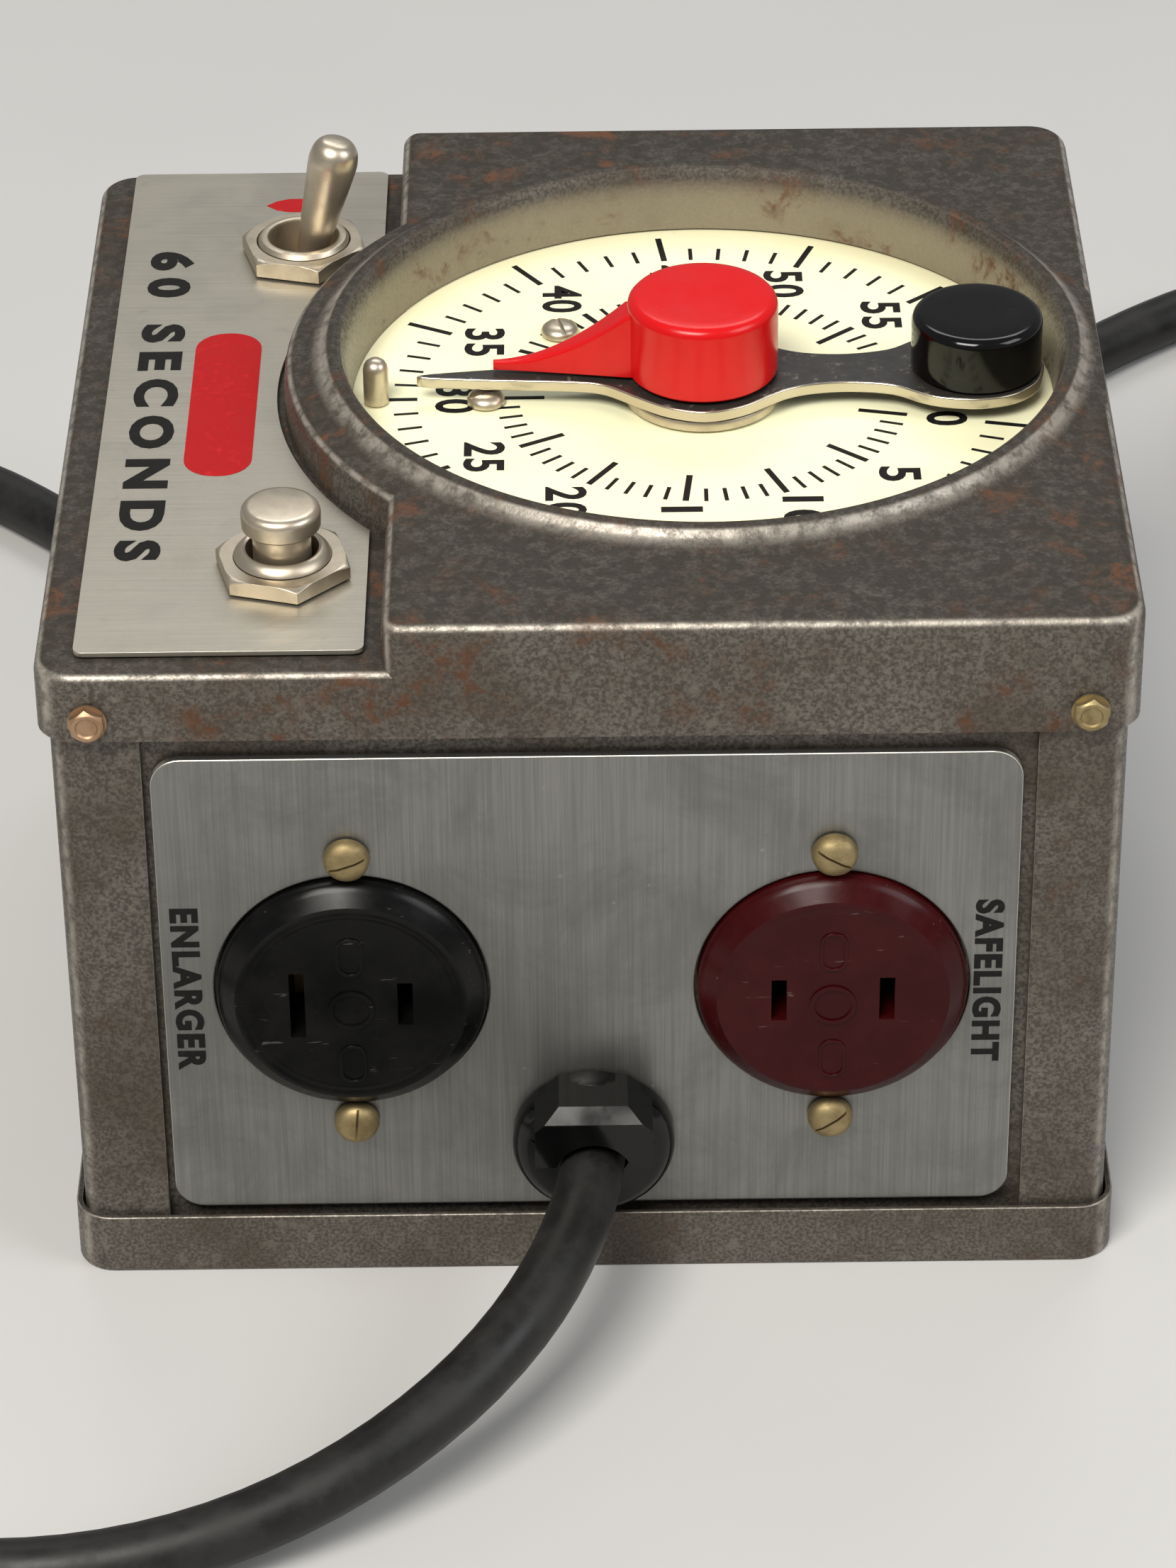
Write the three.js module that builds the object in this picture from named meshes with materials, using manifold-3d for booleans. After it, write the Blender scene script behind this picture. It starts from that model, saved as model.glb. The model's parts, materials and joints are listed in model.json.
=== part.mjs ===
// Darkroom enlarger timer: a square steel box with two switched outlets on its front, a round dial well
// in its drawn lid, a setting lever, a red hand that returns to it, a toggle switch and a start button.
// Millimetres. +X is to the right of the outlet panel, +Y to the back, +Z up, and z = 0 is the table.
import * as THREE from 'three';
import { mergeVertices } from 'three/addons/utils/BufferGeometryUtils.js';
import Module from 'manifold-3d';

const wasm = await Module();
wasm.setup();

// ---- Driving dimensions ----
const gap = 0.3;                 // air between pieces that touch
const frontY = -57.5;            // outer face of the outlet plate
const at = (fromFront) => frontY + fromFront;
const body = { halfWidth: 61.9, front: at(-0.2), back: at(120.6), sheet: 1.2, top: 84.7, corner: 3.5, flange: 10.5 };
const pan = { sheet: 0.8, floor: 1.2, lip: 8.2 };
const lid = {
  sheet: 1.0, skirt: 77.2, strip: 86.1, plateau: 92.2, plateauLeft: -23.4, edge: 1.5, corner: 4.8, sideCorner: 2,
  halfWidth: body.halfWidth + gap + 1.0, front: body.front - gap - 1.0, back: body.back + gap + 1.0,
};
const plate = { left: -50.6, right: 49.9, bottom: 8.9, top: 73.6, thick: 1.1, corner: 3 };
const panel = { front: plate.thick + gap, thick: 1.2 };
const outlet = { x: 28.3, z: 41, r: 15.95, face: 3, screwZ: 19, slot: 6.35 };
const relief = { z: 19.2, r: 9.7, bore: 4.5 };
const dial = { x: 14.4, y: at(61.9), top: 85.6, thick: 0.8, r: 44.6, post: 40, postAngle: 181.4 };
const well = { r: 43, crestR: 44.7, crest: 94.4, footR: 48.5, bossR: 51.2 };
const lever = { bottom: dial.top + 2, top: dial.top + 3.5, angle: 1, knobAt: 33.5, hub: 10 };
const hand = { bottom: dial.top + 4.1, top: dial.top + 14, r: 9.2, tip: 25.6, angle: 179.4 };
const chassis = { bottom: 76, top: 77.6, half: 31, y: at(63) };
const bridge = { bottom: 50, top: 51.6 };
const gear = { r: 20, teeth: 48, pinionR: 5, pinionTeeth: 12, bottom: 60, top: 63 };
const toggle = { x: -35.7, y: at(96.4), pivot: 84, tilt: 14 };
const button = { x: -35.3, y: at(19.5) };
const cord = { r: 3.9, lay: 7.9, ringR: 45, ringX: 152, ringY: at(175.5), plugY: at(145.6) };

// ---- Materials ----
const finish = (color, roughness, metalness) => new THREE.MeshStandardMaterial({ color, roughness, metalness });
const enamel = finish(0x6a6259, 0.5, 0.45);
const darkSteel = finish(0x5b5752, 0.55, 0.8);
const zincPlate = finish(0xb7b3a6, 0.4, 0.85);
const aluminium = finish(0xa19b92, 0.4, 0.9);
const nickel = finish(0xc6b897, 0.25, 0.95);
const brass = finish(0xb08d4a, 0.4, 0.9);
const yellowZinc = finish(0xb39a63, 0.45, 0.7);
const copperScrew = finish(0x9c6a48, 0.45, 0.75);
const dialPaint = finish(0xf8f4cf, 0.6, 0);
const blackBakelite = finish(0x151413, 0.2, 0);
const redBakelite = finish(0x4a1517, 0.3, 0);
const redPlastic = finish(0xd8201f, 0.2, 0);
const blackPaint = finish(0x3a342f, 0.45, 0.3);
const coilTape = finish(0xc9a75d, 0.7, 0);
const fibre = finish(0x4b3a2c, 0.8, 0);
const rubber = finish(0x242322, 0.6, 0);
const wireCotton = finish(0x7a2d24, 0.85, 0);

const group = new THREE.Group();
group.name = 'enlarger_timer';

// ---- Shape helpers ----
// One closed surface with shared corners, no empty triangles, and its faces outward.
function closed(geometry) {
  const bare = geometry.clone();
  bare.deleteAttribute('normal');
  bare.deleteAttribute('uv');
  const merged = mergeVertices(bare, 1e-3);
  const points = merged.attributes.position;
  const kept = [];
  for (let i = 0; i < merged.index.count; i += 3) {
    const [a, b, c] = [0, 1, 2].map((k) => merged.index.getX(i + k));
    if (a !== b && b !== c && c !== a) kept.push([a, b, c]);
  }
  const corner = (i) => new THREE.Vector3().fromBufferAttribute(points, i);
  const volume = kept.reduce((sum, [a, b, c]) => sum + corner(a).dot(corner(b).cross(corner(c))), 0);
  const outward = volume < 0 ? kept.map(([a, b, c]) => [a, c, b]) : kept;
  merged.setIndex(outward.flat());
  return merged;
}

function toSolid(geometry) {
  const shape = closed(geometry);
  const vertProperties = new Float32Array(shape.attributes.position.array);
  const triVerts = new Uint32Array(shape.index.array);
  return new wasm.Manifold(new wasm.Mesh({ numProp: 3, vertProperties, triVerts }));
}

function toGeometry(solid) {
  const mesh = solid.getMesh();
  const geometry = new THREE.BufferGeometry();
  geometry.setAttribute('position', new THREE.BufferAttribute(new Float32Array(mesh.vertProperties), 3));
  geometry.setIndex(new THREE.BufferAttribute(new Uint32Array(mesh.triVerts), 1));
  return geometry;
}

const join = (...parts) => toGeometry(parts.map(toSolid).reduce((a, b) => a.add(b)));
const cut = (base, ...tools) => toGeometry(tools.map(toSolid).reduce((a, b) => a.subtract(b), toSolid(base)));

function add(name, geometry, material) {
  const shape = closed(geometry);
  shape.computeVertexNormals();
  const mesh = new THREE.Mesh(shape, material);
  mesh.name = name;
  group.add(mesh);
}

const circle = (r, n = 24, x = 0, y = 0) =>
  Array.from({ length: n }, (_, i) => {
    const a = (2 * Math.PI * i) / n;
    return new THREE.Vector2(x + r * Math.cos(a), y + r * Math.sin(a));
  });

// Corner radii run counter-clockwise from the front left corner.
function roundedRect(x0, x1, y0, y1, radii, steps = 3) {
  const r = Array.isArray(radii) ? radii : [radii, radii, radii, radii];
  const centres = [
    [x0 + r[0], y0 + r[0], 180], [x1 - r[1], y0 + r[1], 270], [x1 - r[2], y1 - r[2], 0], [x0 + r[3], y1 - r[3], 90],
  ];
  return centres.flatMap(([cx, cy, from], k) =>
    Array.from({ length: steps + 1 }, (_, i) => {
      const a = THREE.MathUtils.degToRad(from + (90 * i) / steps);
      return new THREE.Vector2(cx + r[k] * Math.cos(a), cy + r[k] * Math.sin(a));
    }),
  );
}

function prism(outline, z0, z1, holes = []) {
  const shape = new THREE.Shape(outline);
  shape.holes = holes.map((hole) => new THREE.Path(hole));
  return new THREE.ExtrudeGeometry(shape, { depth: z1 - z0, bevelEnabled: false }).translate(0, 0, z0);
}

// A prism whose top edge is rounded by r.
function softTop(outline, z0, z1, r) {
  const options = { depth: z1 - z0, bevelSize: r, bevelThickness: r, bevelOffset: -r, bevelSegments: 2 };
  const shape = new THREE.ExtrudeGeometry(new THREE.Shape(outline), options).translate(0, 0, z0 - r);
  return cut(shape, block(-200, 200, -200, 200, z0 - 9, z0));
}

function block(x0, x1, y0, y1, z0, z1) {
  const box = new THREE.BoxGeometry(x1 - x0, y1 - y0, z1 - z0);
  return box.translate((x0 + x1) / 2, (y0 + y1) / 2, (z0 + z1) / 2);
}

// A profile of [radius, height] turned about a vertical axis at (x, y).
function turned(profile, n = 24, x = 0, y = 0) {
  const lathe = new THREE.LatheGeometry(profile.map(([r, h]) => new THREE.Vector2(r, h)), n);
  return lathe.rotateX(Math.PI / 2).translate(x, y, 0);
}

const rod = (r, z0, z1, x, y, n = 16) => turned([[0, z0], [r, z0], [r, z1], [0, z1]], n, x, y);

// Turns a piece made about +Z so that +Z faces the front, with its origin at (x, y, z).
const faceFront = (geometry, x, y, z) => geometry.rotateX(Math.PI / 2).translate(x, y, z);

const frontRod = (r, depth, x, y, z, n = 12) => faceFront(rod(r, -depth, depth, 0, 0, n), x, y, z);

function tube(points, r, sides, steps) {
  const path = new THREE.CatmullRomCurve3(points.map((p) => new THREE.Vector3(...p)), false, 'centripetal');
  const section = new THREE.Shape(circle(r, sides));
  return new THREE.ExtrudeGeometry(section, { steps, extrudePath: path });
}

// ---- Housing ----
function basePan() {
  const out = pan.sheet + gap;
  const [front, back] = [body.front - out, body.back + out];
  const half = body.halfWidth + out;
  const outer = roundedRect(-half, half, front, back, body.corner + out, 4);
  const s = pan.sheet;
  const inner = roundedRect(-half + s, half - s, front + s, back - s, body.corner + gap, 4);
  const posts = postPlaces.map(([x, y]) => rod(1.7, -1, 2, x, y, 8));
  add('base_pan', cut(prism(outer, 0, pan.lip), prism(inner, pan.floor, pan.lip + 1), ...posts), enamel);
}

const lidScrewX = 57;
const lidScrewZ = 80.2;

function caseShell() {
  const { halfWidth: w, front, back, sheet: s, corner: r } = body;
  const outer = prism(roundedRect(-w, w, front, back, r, 4), pan.floor + gap, body.top);
  const inner = prism(roundedRect(-w + s, w - s, front + s, back - s, r - s, 4), 0, 90);
  const mouth = block(-w + body.flange, w - body.flange, front - 1, front + s + 1, 0, 90);
  const screws = [-lidScrewX, lidScrewX].flatMap((x) => [front, back].map((y) => frontRod(1.9, 4, x, y, lidScrewZ)));
  add('case_shell', cut(outer, inner, mouth, ...screws), enamel);
}

function frontPanel() {
  const w = body.halfWidth - body.corner + 0.8;
  const [y0, y1] = [at(panel.front), at(panel.front + panel.thick)];
  const holes = [
    ...[-outlet.x, outlet.x].map((x) => frontRod(15, 3, x, y0, outlet.z, 32)),
    ...outletScrewPlaces.map(([x, z]) => frontRod(1.8, 3, x, y0, z)),
    ...[-lidScrewX, lidScrewX].map((x) => frontRod(1.9, 3, x, y0, lidScrewZ)),
    frontRod(6.6, 3, 0, y0, relief.z, 20),
  ];
  add('front_panel', cut(block(-w, w, y0, y1, pan.floor + 0.4, body.top - gap), ...holes), enamel);
}

const outletScrewPlaces = [-outlet.x, outlet.x].flatMap((x) => [-1, 1].map((s) => [x, outlet.z + s * outlet.screwZ]));

function outletPlate() {
  const sheet = prism(roundedRect(plate.left, plate.right, plate.bottom, plate.top, plate.corner), 0, plate.thick);
  const standing = sheet.rotateX(Math.PI / 2).translate(0, at(plate.thick), 0);
  const holes = [
    ...[-outlet.x, outlet.x].map((x) => frontRod(outlet.r + gap, 3, x, at(0), outlet.z, 40)),
    ...outletScrewPlaces.map(([x, z]) => frontRod(1.8, 3, x, at(0), z)),
    frontRod(6.6, 3, 0, at(0), relief.z, 20),
  ];
  add('outlet_plate', cut(standing, ...holes), aluminium);
}

// The lid is one drawn sheet: a low strip at the left, a raised square, and a collar round the dial well
// that bulges over the strip.
function drawnLid() {
  const { sheet: s, halfWidth: w, front, back, corner: r, edge, sideCorner } = lid;
  const low = softTop(roundedRect(-w, w, front, back, r, 4), lid.skirt, lid.strip, edge);
  const raisedCorners = [sideCorner, r, r, sideCorner];
  const high = softTop(roundedRect(lid.plateauLeft, w, front, back, raisedCorners, 4), lid.skirt, lid.plateau, edge);
  const collar = turned([
    [0, lid.skirt + 3], [well.bossR, lid.skirt + 3], [well.bossR, lid.plateau - 2.2], [well.bossR - 0.8, lid.plateau - 0.8],
    [well.footR, lid.plateau], [well.footR - 1.6, lid.plateau + 1.3], [well.crestR + 0.9, well.crest - 0.1],
    [well.crestR, well.crest], [0, well.crest],
  ], 64, dial.x, dial.y);
  const innerCorner = r - s;
  const within = (shape, outline) => toGeometry(toSolid(shape).intersect(toSolid(prism(outline, 50, 110))));
  const sides = roundedRect(-w, w - 0.4, front, back, r, 4);
  const lowHollow = prism(roundedRect(-w + s, w - s, front + s, back - s, innerCorner, 4), 60, lid.strip - s);
  const under = [lid.plateauLeft + s, w - s, front + s, back - s];
  const highHollow = prism(roundedRect(...under, [1, innerCorner, innerCorner, 1], 4), 60, lid.plateau - s);
  const wallBottom = dial.top + gap;
  const wall = turned([[0, wallBottom], [well.r + 1.2, wallBottom], [well.r + 1.7, 99], [0, 99]], 64, dial.x, dial.y);
  const collarHollow = turned([
    [0, 60], [well.bossR - 1.1, 60], [well.bossR - 1.1, lid.plateau - 2.8], [well.bossR - 1.8, lid.plateau - 1.7],
    [well.footR - 0.6, lid.plateau - 1.1], [well.footR - 2.4, lid.plateau + 0.2], [well.crestR + 1, lid.plateau + 1],
    [well.crestR, lid.plateau + 0.4], [well.r + 1.2, wallBottom], [0, wallBottom],
  ], 64, dial.x, dial.y);
  const opening = turned([
    [0, 60], [well.r, 60], [well.r, wallBottom], [well.r + 0.5, lid.plateau], [well.r + 0.8, well.crest - 0.7],
    [well.crestR, well.crest], [well.crestR, well.crest + 1], [0, well.crest + 1],
  ], 64, dial.x, dial.y);
  const insides = roundedRect(-w + s, w - s, front + s, back - s, innerCorner, 4);
  const holes = [
    rod(6.2, 80, 90, toggle.x, toggle.y, 20),
    rod(6, 80, 90, button.x, button.y, 20),
    ...[-lidScrewX, lidScrewX].flatMap((x) => [front, back].map((y) => frontRod(1.9, 3, x, y, lidScrewZ))),
  ];
  const outside = join(low, high, within(collar, sides));
  const hollows = [lowHollow, cut(highHollow, wall), within(collarHollow, insides), opening];
  add('lid', cut(outside, ...hollows, ...holes), enamel);
}

// The name plate covers the low strip, and is cut round the collar.
const namePlate = { left: -58.6, right: -25.5, front: at(2.1), back: at(119.7), bottom: lid.strip + gap, thick: 0.6 };

function namePlateSheet() {
  const { left, right, front, back, bottom, thick } = namePlate;
  const sheet = prism(roundedRect(left, right, front, back, 1.2, 2), bottom, bottom + thick);
  const holes = [
    rod(well.bossR + 0.9, 80, 90, dial.x, dial.y, 64),
    rod(6.2, 80, 90, toggle.x, toggle.y, 20),
    rod(6, 80, 90, button.x, button.y, 20),
  ];
  add('name_plate', cut(sheet, ...holes), aluminium);
}

function screw(headR, headHeight, shankR, length, n = 12) {
  const dome = [[headR * 0.6, headHeight], [0, headHeight]];
  return turned([[0, -length], [shankR, -length], [shankR, 0], [headR, 0], [headR, headHeight * 0.6], ...dome], n);
}

function lidScrews() {
  for (const [side, x] of [['left', -lidScrewX], ['right', lidScrewX]]) {
    const material = side === 'left' ? copperScrew : yellowZinc;
    add(`lid_screw_front_${side}`, faceFront(screw(2.1, 1.6, 1.5, 5), x, lid.front - gap, lidScrewZ), material);
    const rear = screw(2.1, 1.6, 1.5, 4).rotateX(-Math.PI / 2).translate(x, lid.back + gap, lidScrewZ);
    add(`lid_screw_rear_${side}`, rear, yellowZinc);
  }
}

// ---- Outlet panel ----
function outlets() {
  const neck = panel.front + panel.thick + gap;
  for (const [name, x, material] of [['outlet_left', -outlet.x, blackBakelite], ['outlet_right', outlet.x, redBakelite]]) {
    const face = turned([
      [0, outlet.face], [13.2, outlet.face], [outlet.r - 0.3, 1.2], [outlet.r, 0.6], [outlet.r, -plate.thick],
      [14.6, -plate.thick], [14.6, -24], [0, -24],
    ], 40);
    const strap = block(-5, 5, -23, 23, -neck - 2, -neck);
    const bores = [-1, 1].map((s) => rod(1.7, -9, 0, 0, s * outlet.screwZ, 10));
    const slots = [
      block(-outlet.slot - 0.9, -outlet.slot + 0.9, -4, 4, -7, 9),
      block(outlet.slot - 0.9, outlet.slot + 0.9, -3, 3, -7, 9),
    ];
    add(name, faceFront(cut(join(face, strap), ...slots, ...bores), x, at(0), outlet.z), material);
    for (const [end, s] of [['top', 1], ['bottom', -1]]) {
      const place = [x, at(-gap), outlet.z + s * outlet.screwZ];
      add(`${name}_screw_${end}`, faceFront(screw(2.7, 2, 1.4, 5.5, 16), ...place), yellowZinc);
    }
  }
}

// A round bushing with a stub body through the panel and an eight-sided clamp nose over the cord.
function strainRelief() {
  const disc = turned([
    [0, 3.6], [8.2, 3.6], [relief.r, 2.2], [relief.r, gap], [6.2, gap], [6.2, -9], [0, -9],
  ], 32);
  const half = 7;
  const nose = prism(
    [[-half, 2], [half, 2], [half, 7.5], [half - 2.6, 9.4], [-half + 2.6, 9.4], [-half, 7.5]].map((p) => new THREE.Vector2(...p)),
    gap, 8.6,
  );
  const bore = rod(relief.bore, -12, 12, 0, 0, 20);
  add('strain_relief', faceFront(cut(join(disc, nose), bore), 0, at(0), relief.z), blackBakelite);
}

// ---- Dial, lever and hand ----
const around = (r, degrees) => {
  const a = THREE.MathUtils.degToRad(degrees);
  return [dial.x + r * Math.cos(a), dial.y + r * Math.sin(a)];
};
const dialScrewPlaces = { a: around(26.6, 183), b: around(23.5, 138) };

function dialPlate() {
  const holes = [
    rod(4.5, 80, 90, dial.x, dial.y),
    rod(1.3, 80, 90, ...around(dial.post, dial.postAngle), 10),
    ...Object.values(dialScrewPlaces).map(([x, y]) => rod(1.6, 80, 90, x, y, 10)),
  ];
  const disc = rod(dial.r, dial.top - dial.thick, dial.top, dial.x, dial.y, 64);
  add('dial', cut(disc, ...holes), dialPaint);
}

function stopPost() {
  const under = dial.top - dial.thick - gap;
  const foot = dial.top + gap;
  const profile = [
    [0, under - 0.9], [2, under - 0.9], [2, under], [1, under], [1, foot], [1.55, foot],
    [1.55, foot + 4.4], [1.1, foot + 5.5], [0, foot + 5.9],
  ];
  add('stop_post', turned(profile, 16, ...around(dial.post, dial.postAngle)), nickel);
}

function dialFixings() {
  for (const [name, [x, y]] of Object.entries(dialScrewPlaces)) {
    const spacerTop = dial.top - dial.thick - gap;
    const spacer = rod(2.6, chassis.top + gap, spacerTop, x, y, 12);
    add(`dial_spacer_${name}`, cut(spacer, rod(1.5, spacerTop - 3, 99, x, y, 10)), brass);
    add(`dial_screw_${name}`, screw(2.6, 1.3, 1.1, 3, 14).translate(x, y, dial.top + gap), nickel);
  }
}

function dialBushing() {
  const under = dial.top - dial.thick - gap;
  const profile = [
    [3.4, chassis.bottom - 2], [4.2, chassis.bottom - 2], [4.2, chassis.top + gap], [5, chassis.top + gap], [5, under],
    [4.2, under], [4.2, dial.top + gap], [9.7, dial.top + gap], [9.7, dial.top + 1.2], [9.2, dial.top + 1.7],
    [3.4, dial.top + 1.7], [3.4, chassis.bottom - 2],
  ];
  add('dial_bushing', turned(profile, 32, dial.x, dial.y), nickel);
}

const turnTo = (geometry, degrees) => geometry.rotateZ(THREE.MathUtils.degToRad(degrees)).translate(dial.x, dial.y, 0);
const sleeve = { r: 3.3, bore: 2.4, bottom: 70.4 };

// A flat arm with a pointer at one end, a round seat for the knob at the other, and a sleeve through the dial.
function settingLever() {
  const pointer = [[-35, 0], [-34, -0.6], [-26, -1.4], [-12, -2.4], [-8, -6], [-8, 6], [-12, 2.4], [-26, 1.4], [-34, 0.6]];
  const waist = [[8, -6.2], [13.5, -3.8], [20, -4.1], [28, -6.8], [28, 6.8], [20, 4.1], [13.5, 3.8], [8, 6.2]];
  const flat = (points) => prism(points.map((p) => new THREE.Vector2(...p)), lever.bottom, lever.top);
  const hub = rod(lever.hub, lever.bottom, lever.top, 0, 0, 32);
  const seat = rod(8.5, lever.bottom, lever.top, lever.knobAt, 0, 32);
  const neck = rod(sleeve.r, sleeve.bottom, lever.bottom + 0.5, 0, 0);
  const bore = rod(sleeve.bore, 60, 99, 0, 0);
  add('setting_lever', turnTo(cut(join(hub, flat(pointer), flat(waist), seat, neck), bore), lever.angle), blackPaint);
  const knob = turned([
    [0, lever.top + gap], [7.8, lever.top + gap], [8, lever.top + 0.7], [8, dial.top + 9.7], [7.5, dial.top + 10.7],
    [6.4, dial.top + 11], [0, dial.top + 11],
  ], 32, lever.knobAt, 0);
  add('lever_knob', turnTo(knob, lever.angle), blackBakelite);
}

// Under the chassis, a pin on the lever's sleeve is the stop that the hand's arm comes back to.
const stopArm = { bottom: sleeve.bottom, top: sleeve.bottom + 2, pinAt: 7, pinR: 1.2 };
const tripArm = { bottom: 66.6, top: 68.6, tip: 12.4, halfWidth: 1.5, angle: -169 };

function limitArm() {
  const collar = turned([
    [3.6, stopArm.bottom], [5.4, stopArm.bottom], [5.4, stopArm.top], [3.6, stopArm.top], [3.6, stopArm.bottom],
  ]);
  const arm = block(4.4, 8.4, -1.4, 1.4, stopArm.bottom, stopArm.top);
  const pin = rod(stopArm.pinR, tripArm.bottom, stopArm.bottom + 0.5, stopArm.pinAt, 0, 12);
  const behind = THREE.MathUtils.radToDeg(Math.asin((tripArm.halfWidth + stopArm.pinR + gap) / stopArm.pinAt));
  add('limit_arm', turnTo(join(collar, arm, pin), tripArm.angle - behind), zincPlate);
}

// A knob with a fin that sweeps down to a point, turned from one piece of red plastic.
function redHand() {
  const { bottom, top, r, tip } = hand;
  const knob = turned([
    [0, bottom], [r, bottom], [r, top - 1.1], [r - 0.4, top - 0.35], [r - 1.2, top], [0, top],
  ], 40);
  const height = (x) => 1.1 + 7.4 * Math.pow(THREE.MathUtils.clamp((tip - x) / (tip - r), 0, 1), 1.9);
  const stations = [tip, 22, 19, 16, 13.5, 11, 9, 6];
  const side = [[6, 0], [tip, 0], ...stations.map((x) => [x, height(Math.max(x, r))])];
  const fin = prism(side.map((p) => new THREE.Vector2(...p)), -3, 3).rotateX(Math.PI / 2).translate(0, 0, bottom);
  const trim = [[5, -2.3], [tip, -0.6], [tip, 0.6], [18, 1.3], [13, 2.2], [5, 2.9]].map((p) => new THREE.Vector2(...p));
  const pointer = toGeometry(toSolid(fin).intersect(toSolid(prism(trim, bottom - 1, top + 1))));
  const bore = rod(2.4, bottom - 1, top - 2.2, 0, 0);
  add('red_hand', turnTo(cut(join(knob, pointer), bore), hand.angle), redPlastic);
}

function arbor() {
  const r = 2.1;
  const profile = [[0, bridge.bottom + 0.4], [r, bridge.bottom + 0.4], [r, hand.top - 2.5], [0, hand.top - 2.5]];
  add('arbor', turned(profile, 16, dial.x, dial.y), zincPlate);
  const hub = turned([
    [r + gap, tripArm.bottom], [4.6, tripArm.bottom], [4.6, tripArm.top], [r + gap, tripArm.top], [r + gap, tripArm.bottom],
  ]);
  const arm = block(3.4, tripArm.tip, -tripArm.halfWidth, tripArm.halfWidth, tripArm.bottom, tripArm.top);
  add('trip_arm', turnTo(join(hub, arm), tripArm.angle), brass);
  const disc = turned([[r + gap, 63.5], [11, 63.5], [11, 65], [r + gap, 65], [r + gap, 63.5]], 32, dial.x, dial.y);
  add('clutch_disc', disc, zincPlate);
}

// ---- Movement ----
function toothed(r, teeth, addendum) {
  const outline = [];
  for (let i = 0; i < teeth; i += 1) {
    for (const [offset, radius] of [[-0.27, r - addendum], [-0.13, r + addendum], [0.13, r + addendum], [0.27, r - addendum]]) {
      const a = (2 * Math.PI * (i + offset)) / teeth;
      outline.push(new THREE.Vector2(radius * Math.cos(a), radius * Math.sin(a)));
    }
  }
  return outline;
}

const pinionY = dial.y + gear.r + gear.pinionR + 0.3;

function gears() {
  const wheel = prism(toothed(gear.r, gear.teeth, 0.7), gear.bottom, gear.top, [circle(2.4, 16)]);
  add('clutch_gear', wheel.translate(dial.x, dial.y, 0), brass);
  const half = Math.PI / gear.pinionTeeth;
  const pinion = prism(toothed(gear.pinionR, gear.pinionTeeth, 0.7), gear.bottom - 0.5, gear.top + 0.5).rotateZ(half);
  const shaft = rod(1.6, bridge.bottom - 3, gear.bottom, 0, 0, 12);
  add('motor_pinion', join(pinion, shaft).translate(dial.x, pinionY, 0), brass);
}

const postPlaces = [-1, 1].flatMap((a) => [-1, 1].map((b) => [dial.x + a * 26, chassis.y + b * 26]));

function chassisPlates() {
  const { half, y } = chassis;
  const outline = roundedRect(dial.x - half, dial.x + half, y - half, y + half, 4, 2);
  const posts = postPlaces.map(([px, py]) => circle(1.7, 8, px, py));
  const bore = circle(4.5, 24, dial.x, dial.y);
  add('chassis_plate', prism(outline, chassis.bottom, chassis.top, [bore, ...posts]), zincPlate);
  const wide = postPlaces.map(([px, py]) => circle(3.3, 10, px, py));
  const shaftHoles = [circle(2.4, 16, dial.x, dial.y), circle(2.2, 12, dial.x, pinionY)];
  add('bridge_plate', prism(outline, bridge.bottom, bridge.top, [...shaftHoles, ...wide]), zincPlate);
  postPlaces.forEach(([px, py], i) => {
    add(`chassis_post_${i + 1}`, rod(3, pan.floor + gap, chassis.bottom - gap, px, py, 10), zincPlate);
  });
}

function movement() {
  const coil = turned([
    [3, bridge.top + gap], [12.5, bridge.top + gap], [12.5, 58.6], [3, 58.6], [3, bridge.top + gap],
  ], 28, dial.x, dial.y);
  add('clutch_coil', coil, coilTape);
  const can = turned([[0, 20], [23, 20], [24, 21], [24, 41.2], [23, 42.2], [0, 42.2]], 36, dial.x, chassis.y);
  add('motor_can', can, zincPlate);
  const box = prism(roundedRect(dial.x - 14, dial.x + 14, at(52), at(93.2), 5, 2), 42.5, bridge.bottom - gap);
  const well2 = rod(2.2, bridge.bottom - 4, 60, dial.x, pinionY, 12);
  const seat = rod(2.6, bridge.bottom - 1, 60, dial.x, dial.y, 12);
  add('gearbox', cut(box, well2, seat), zincPlate);
}

// A flat hairspring: its inner end is by the arbor, its outer end is held.
function returnSpring() {
  const turns = 3.2;
  const steps = 44;
  const edge = (shift) =>
    Array.from({ length: steps + 1 }, (_, i) => {
      const a = (2 * Math.PI * turns * i) / steps;
      const r = 3 + (5.6 * i) / steps + shift;
      return new THREE.Vector2(r * Math.cos(a), r * Math.sin(a));
    });
  const strip = prism([...edge(-0.15), ...edge(0.15).reverse()], 65.3, 66.3);
  add('return_spring', strip.translate(dial.x, dial.y, 0), darkSteel);
}

const snap = { x: dial.x + 13.9, y: dial.y, z0: 64.4, z1: 70 };

function snapSwitch() {
  const box = block(snap.x, snap.x + 7, snap.y - 6, snap.y + 13, snap.z0, snap.z1);
  const mid = (snap.z0 + snap.z1) / 2;
  const bore = rod(1.3, -1, 3.4, 0, 0, 10).rotateY(Math.PI / 2).translate(snap.x, snap.y, mid);
  const foot = block(snap.x + 2, snap.x + 6, snap.y - 5, snap.y + 12, snap.z1 - 0.5, chassis.bottom - gap);
  add('snap_switch', cut(join(box, foot), bore), fibre);
  const plunger = rod(1, -1.2, 2, 0, 0, 10).rotateY(Math.PI / 2).translate(snap.x, snap.y, mid);
  add('snap_plunger', plunger, blackBakelite);
}

// ---- Toggle switch and start button ----
function hexNut(name, x, y, z0, z1, bore, degrees) {
  const nut = prism(circle(8.25, 6), z0, z1, [circle(bore, 20)]);
  add(name, nut.rotateZ(THREE.MathUtils.degToRad(degrees)).translate(x, y, 0), nickel);
}

const nutFoot = namePlate.bottom + namePlate.thick + gap;

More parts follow.
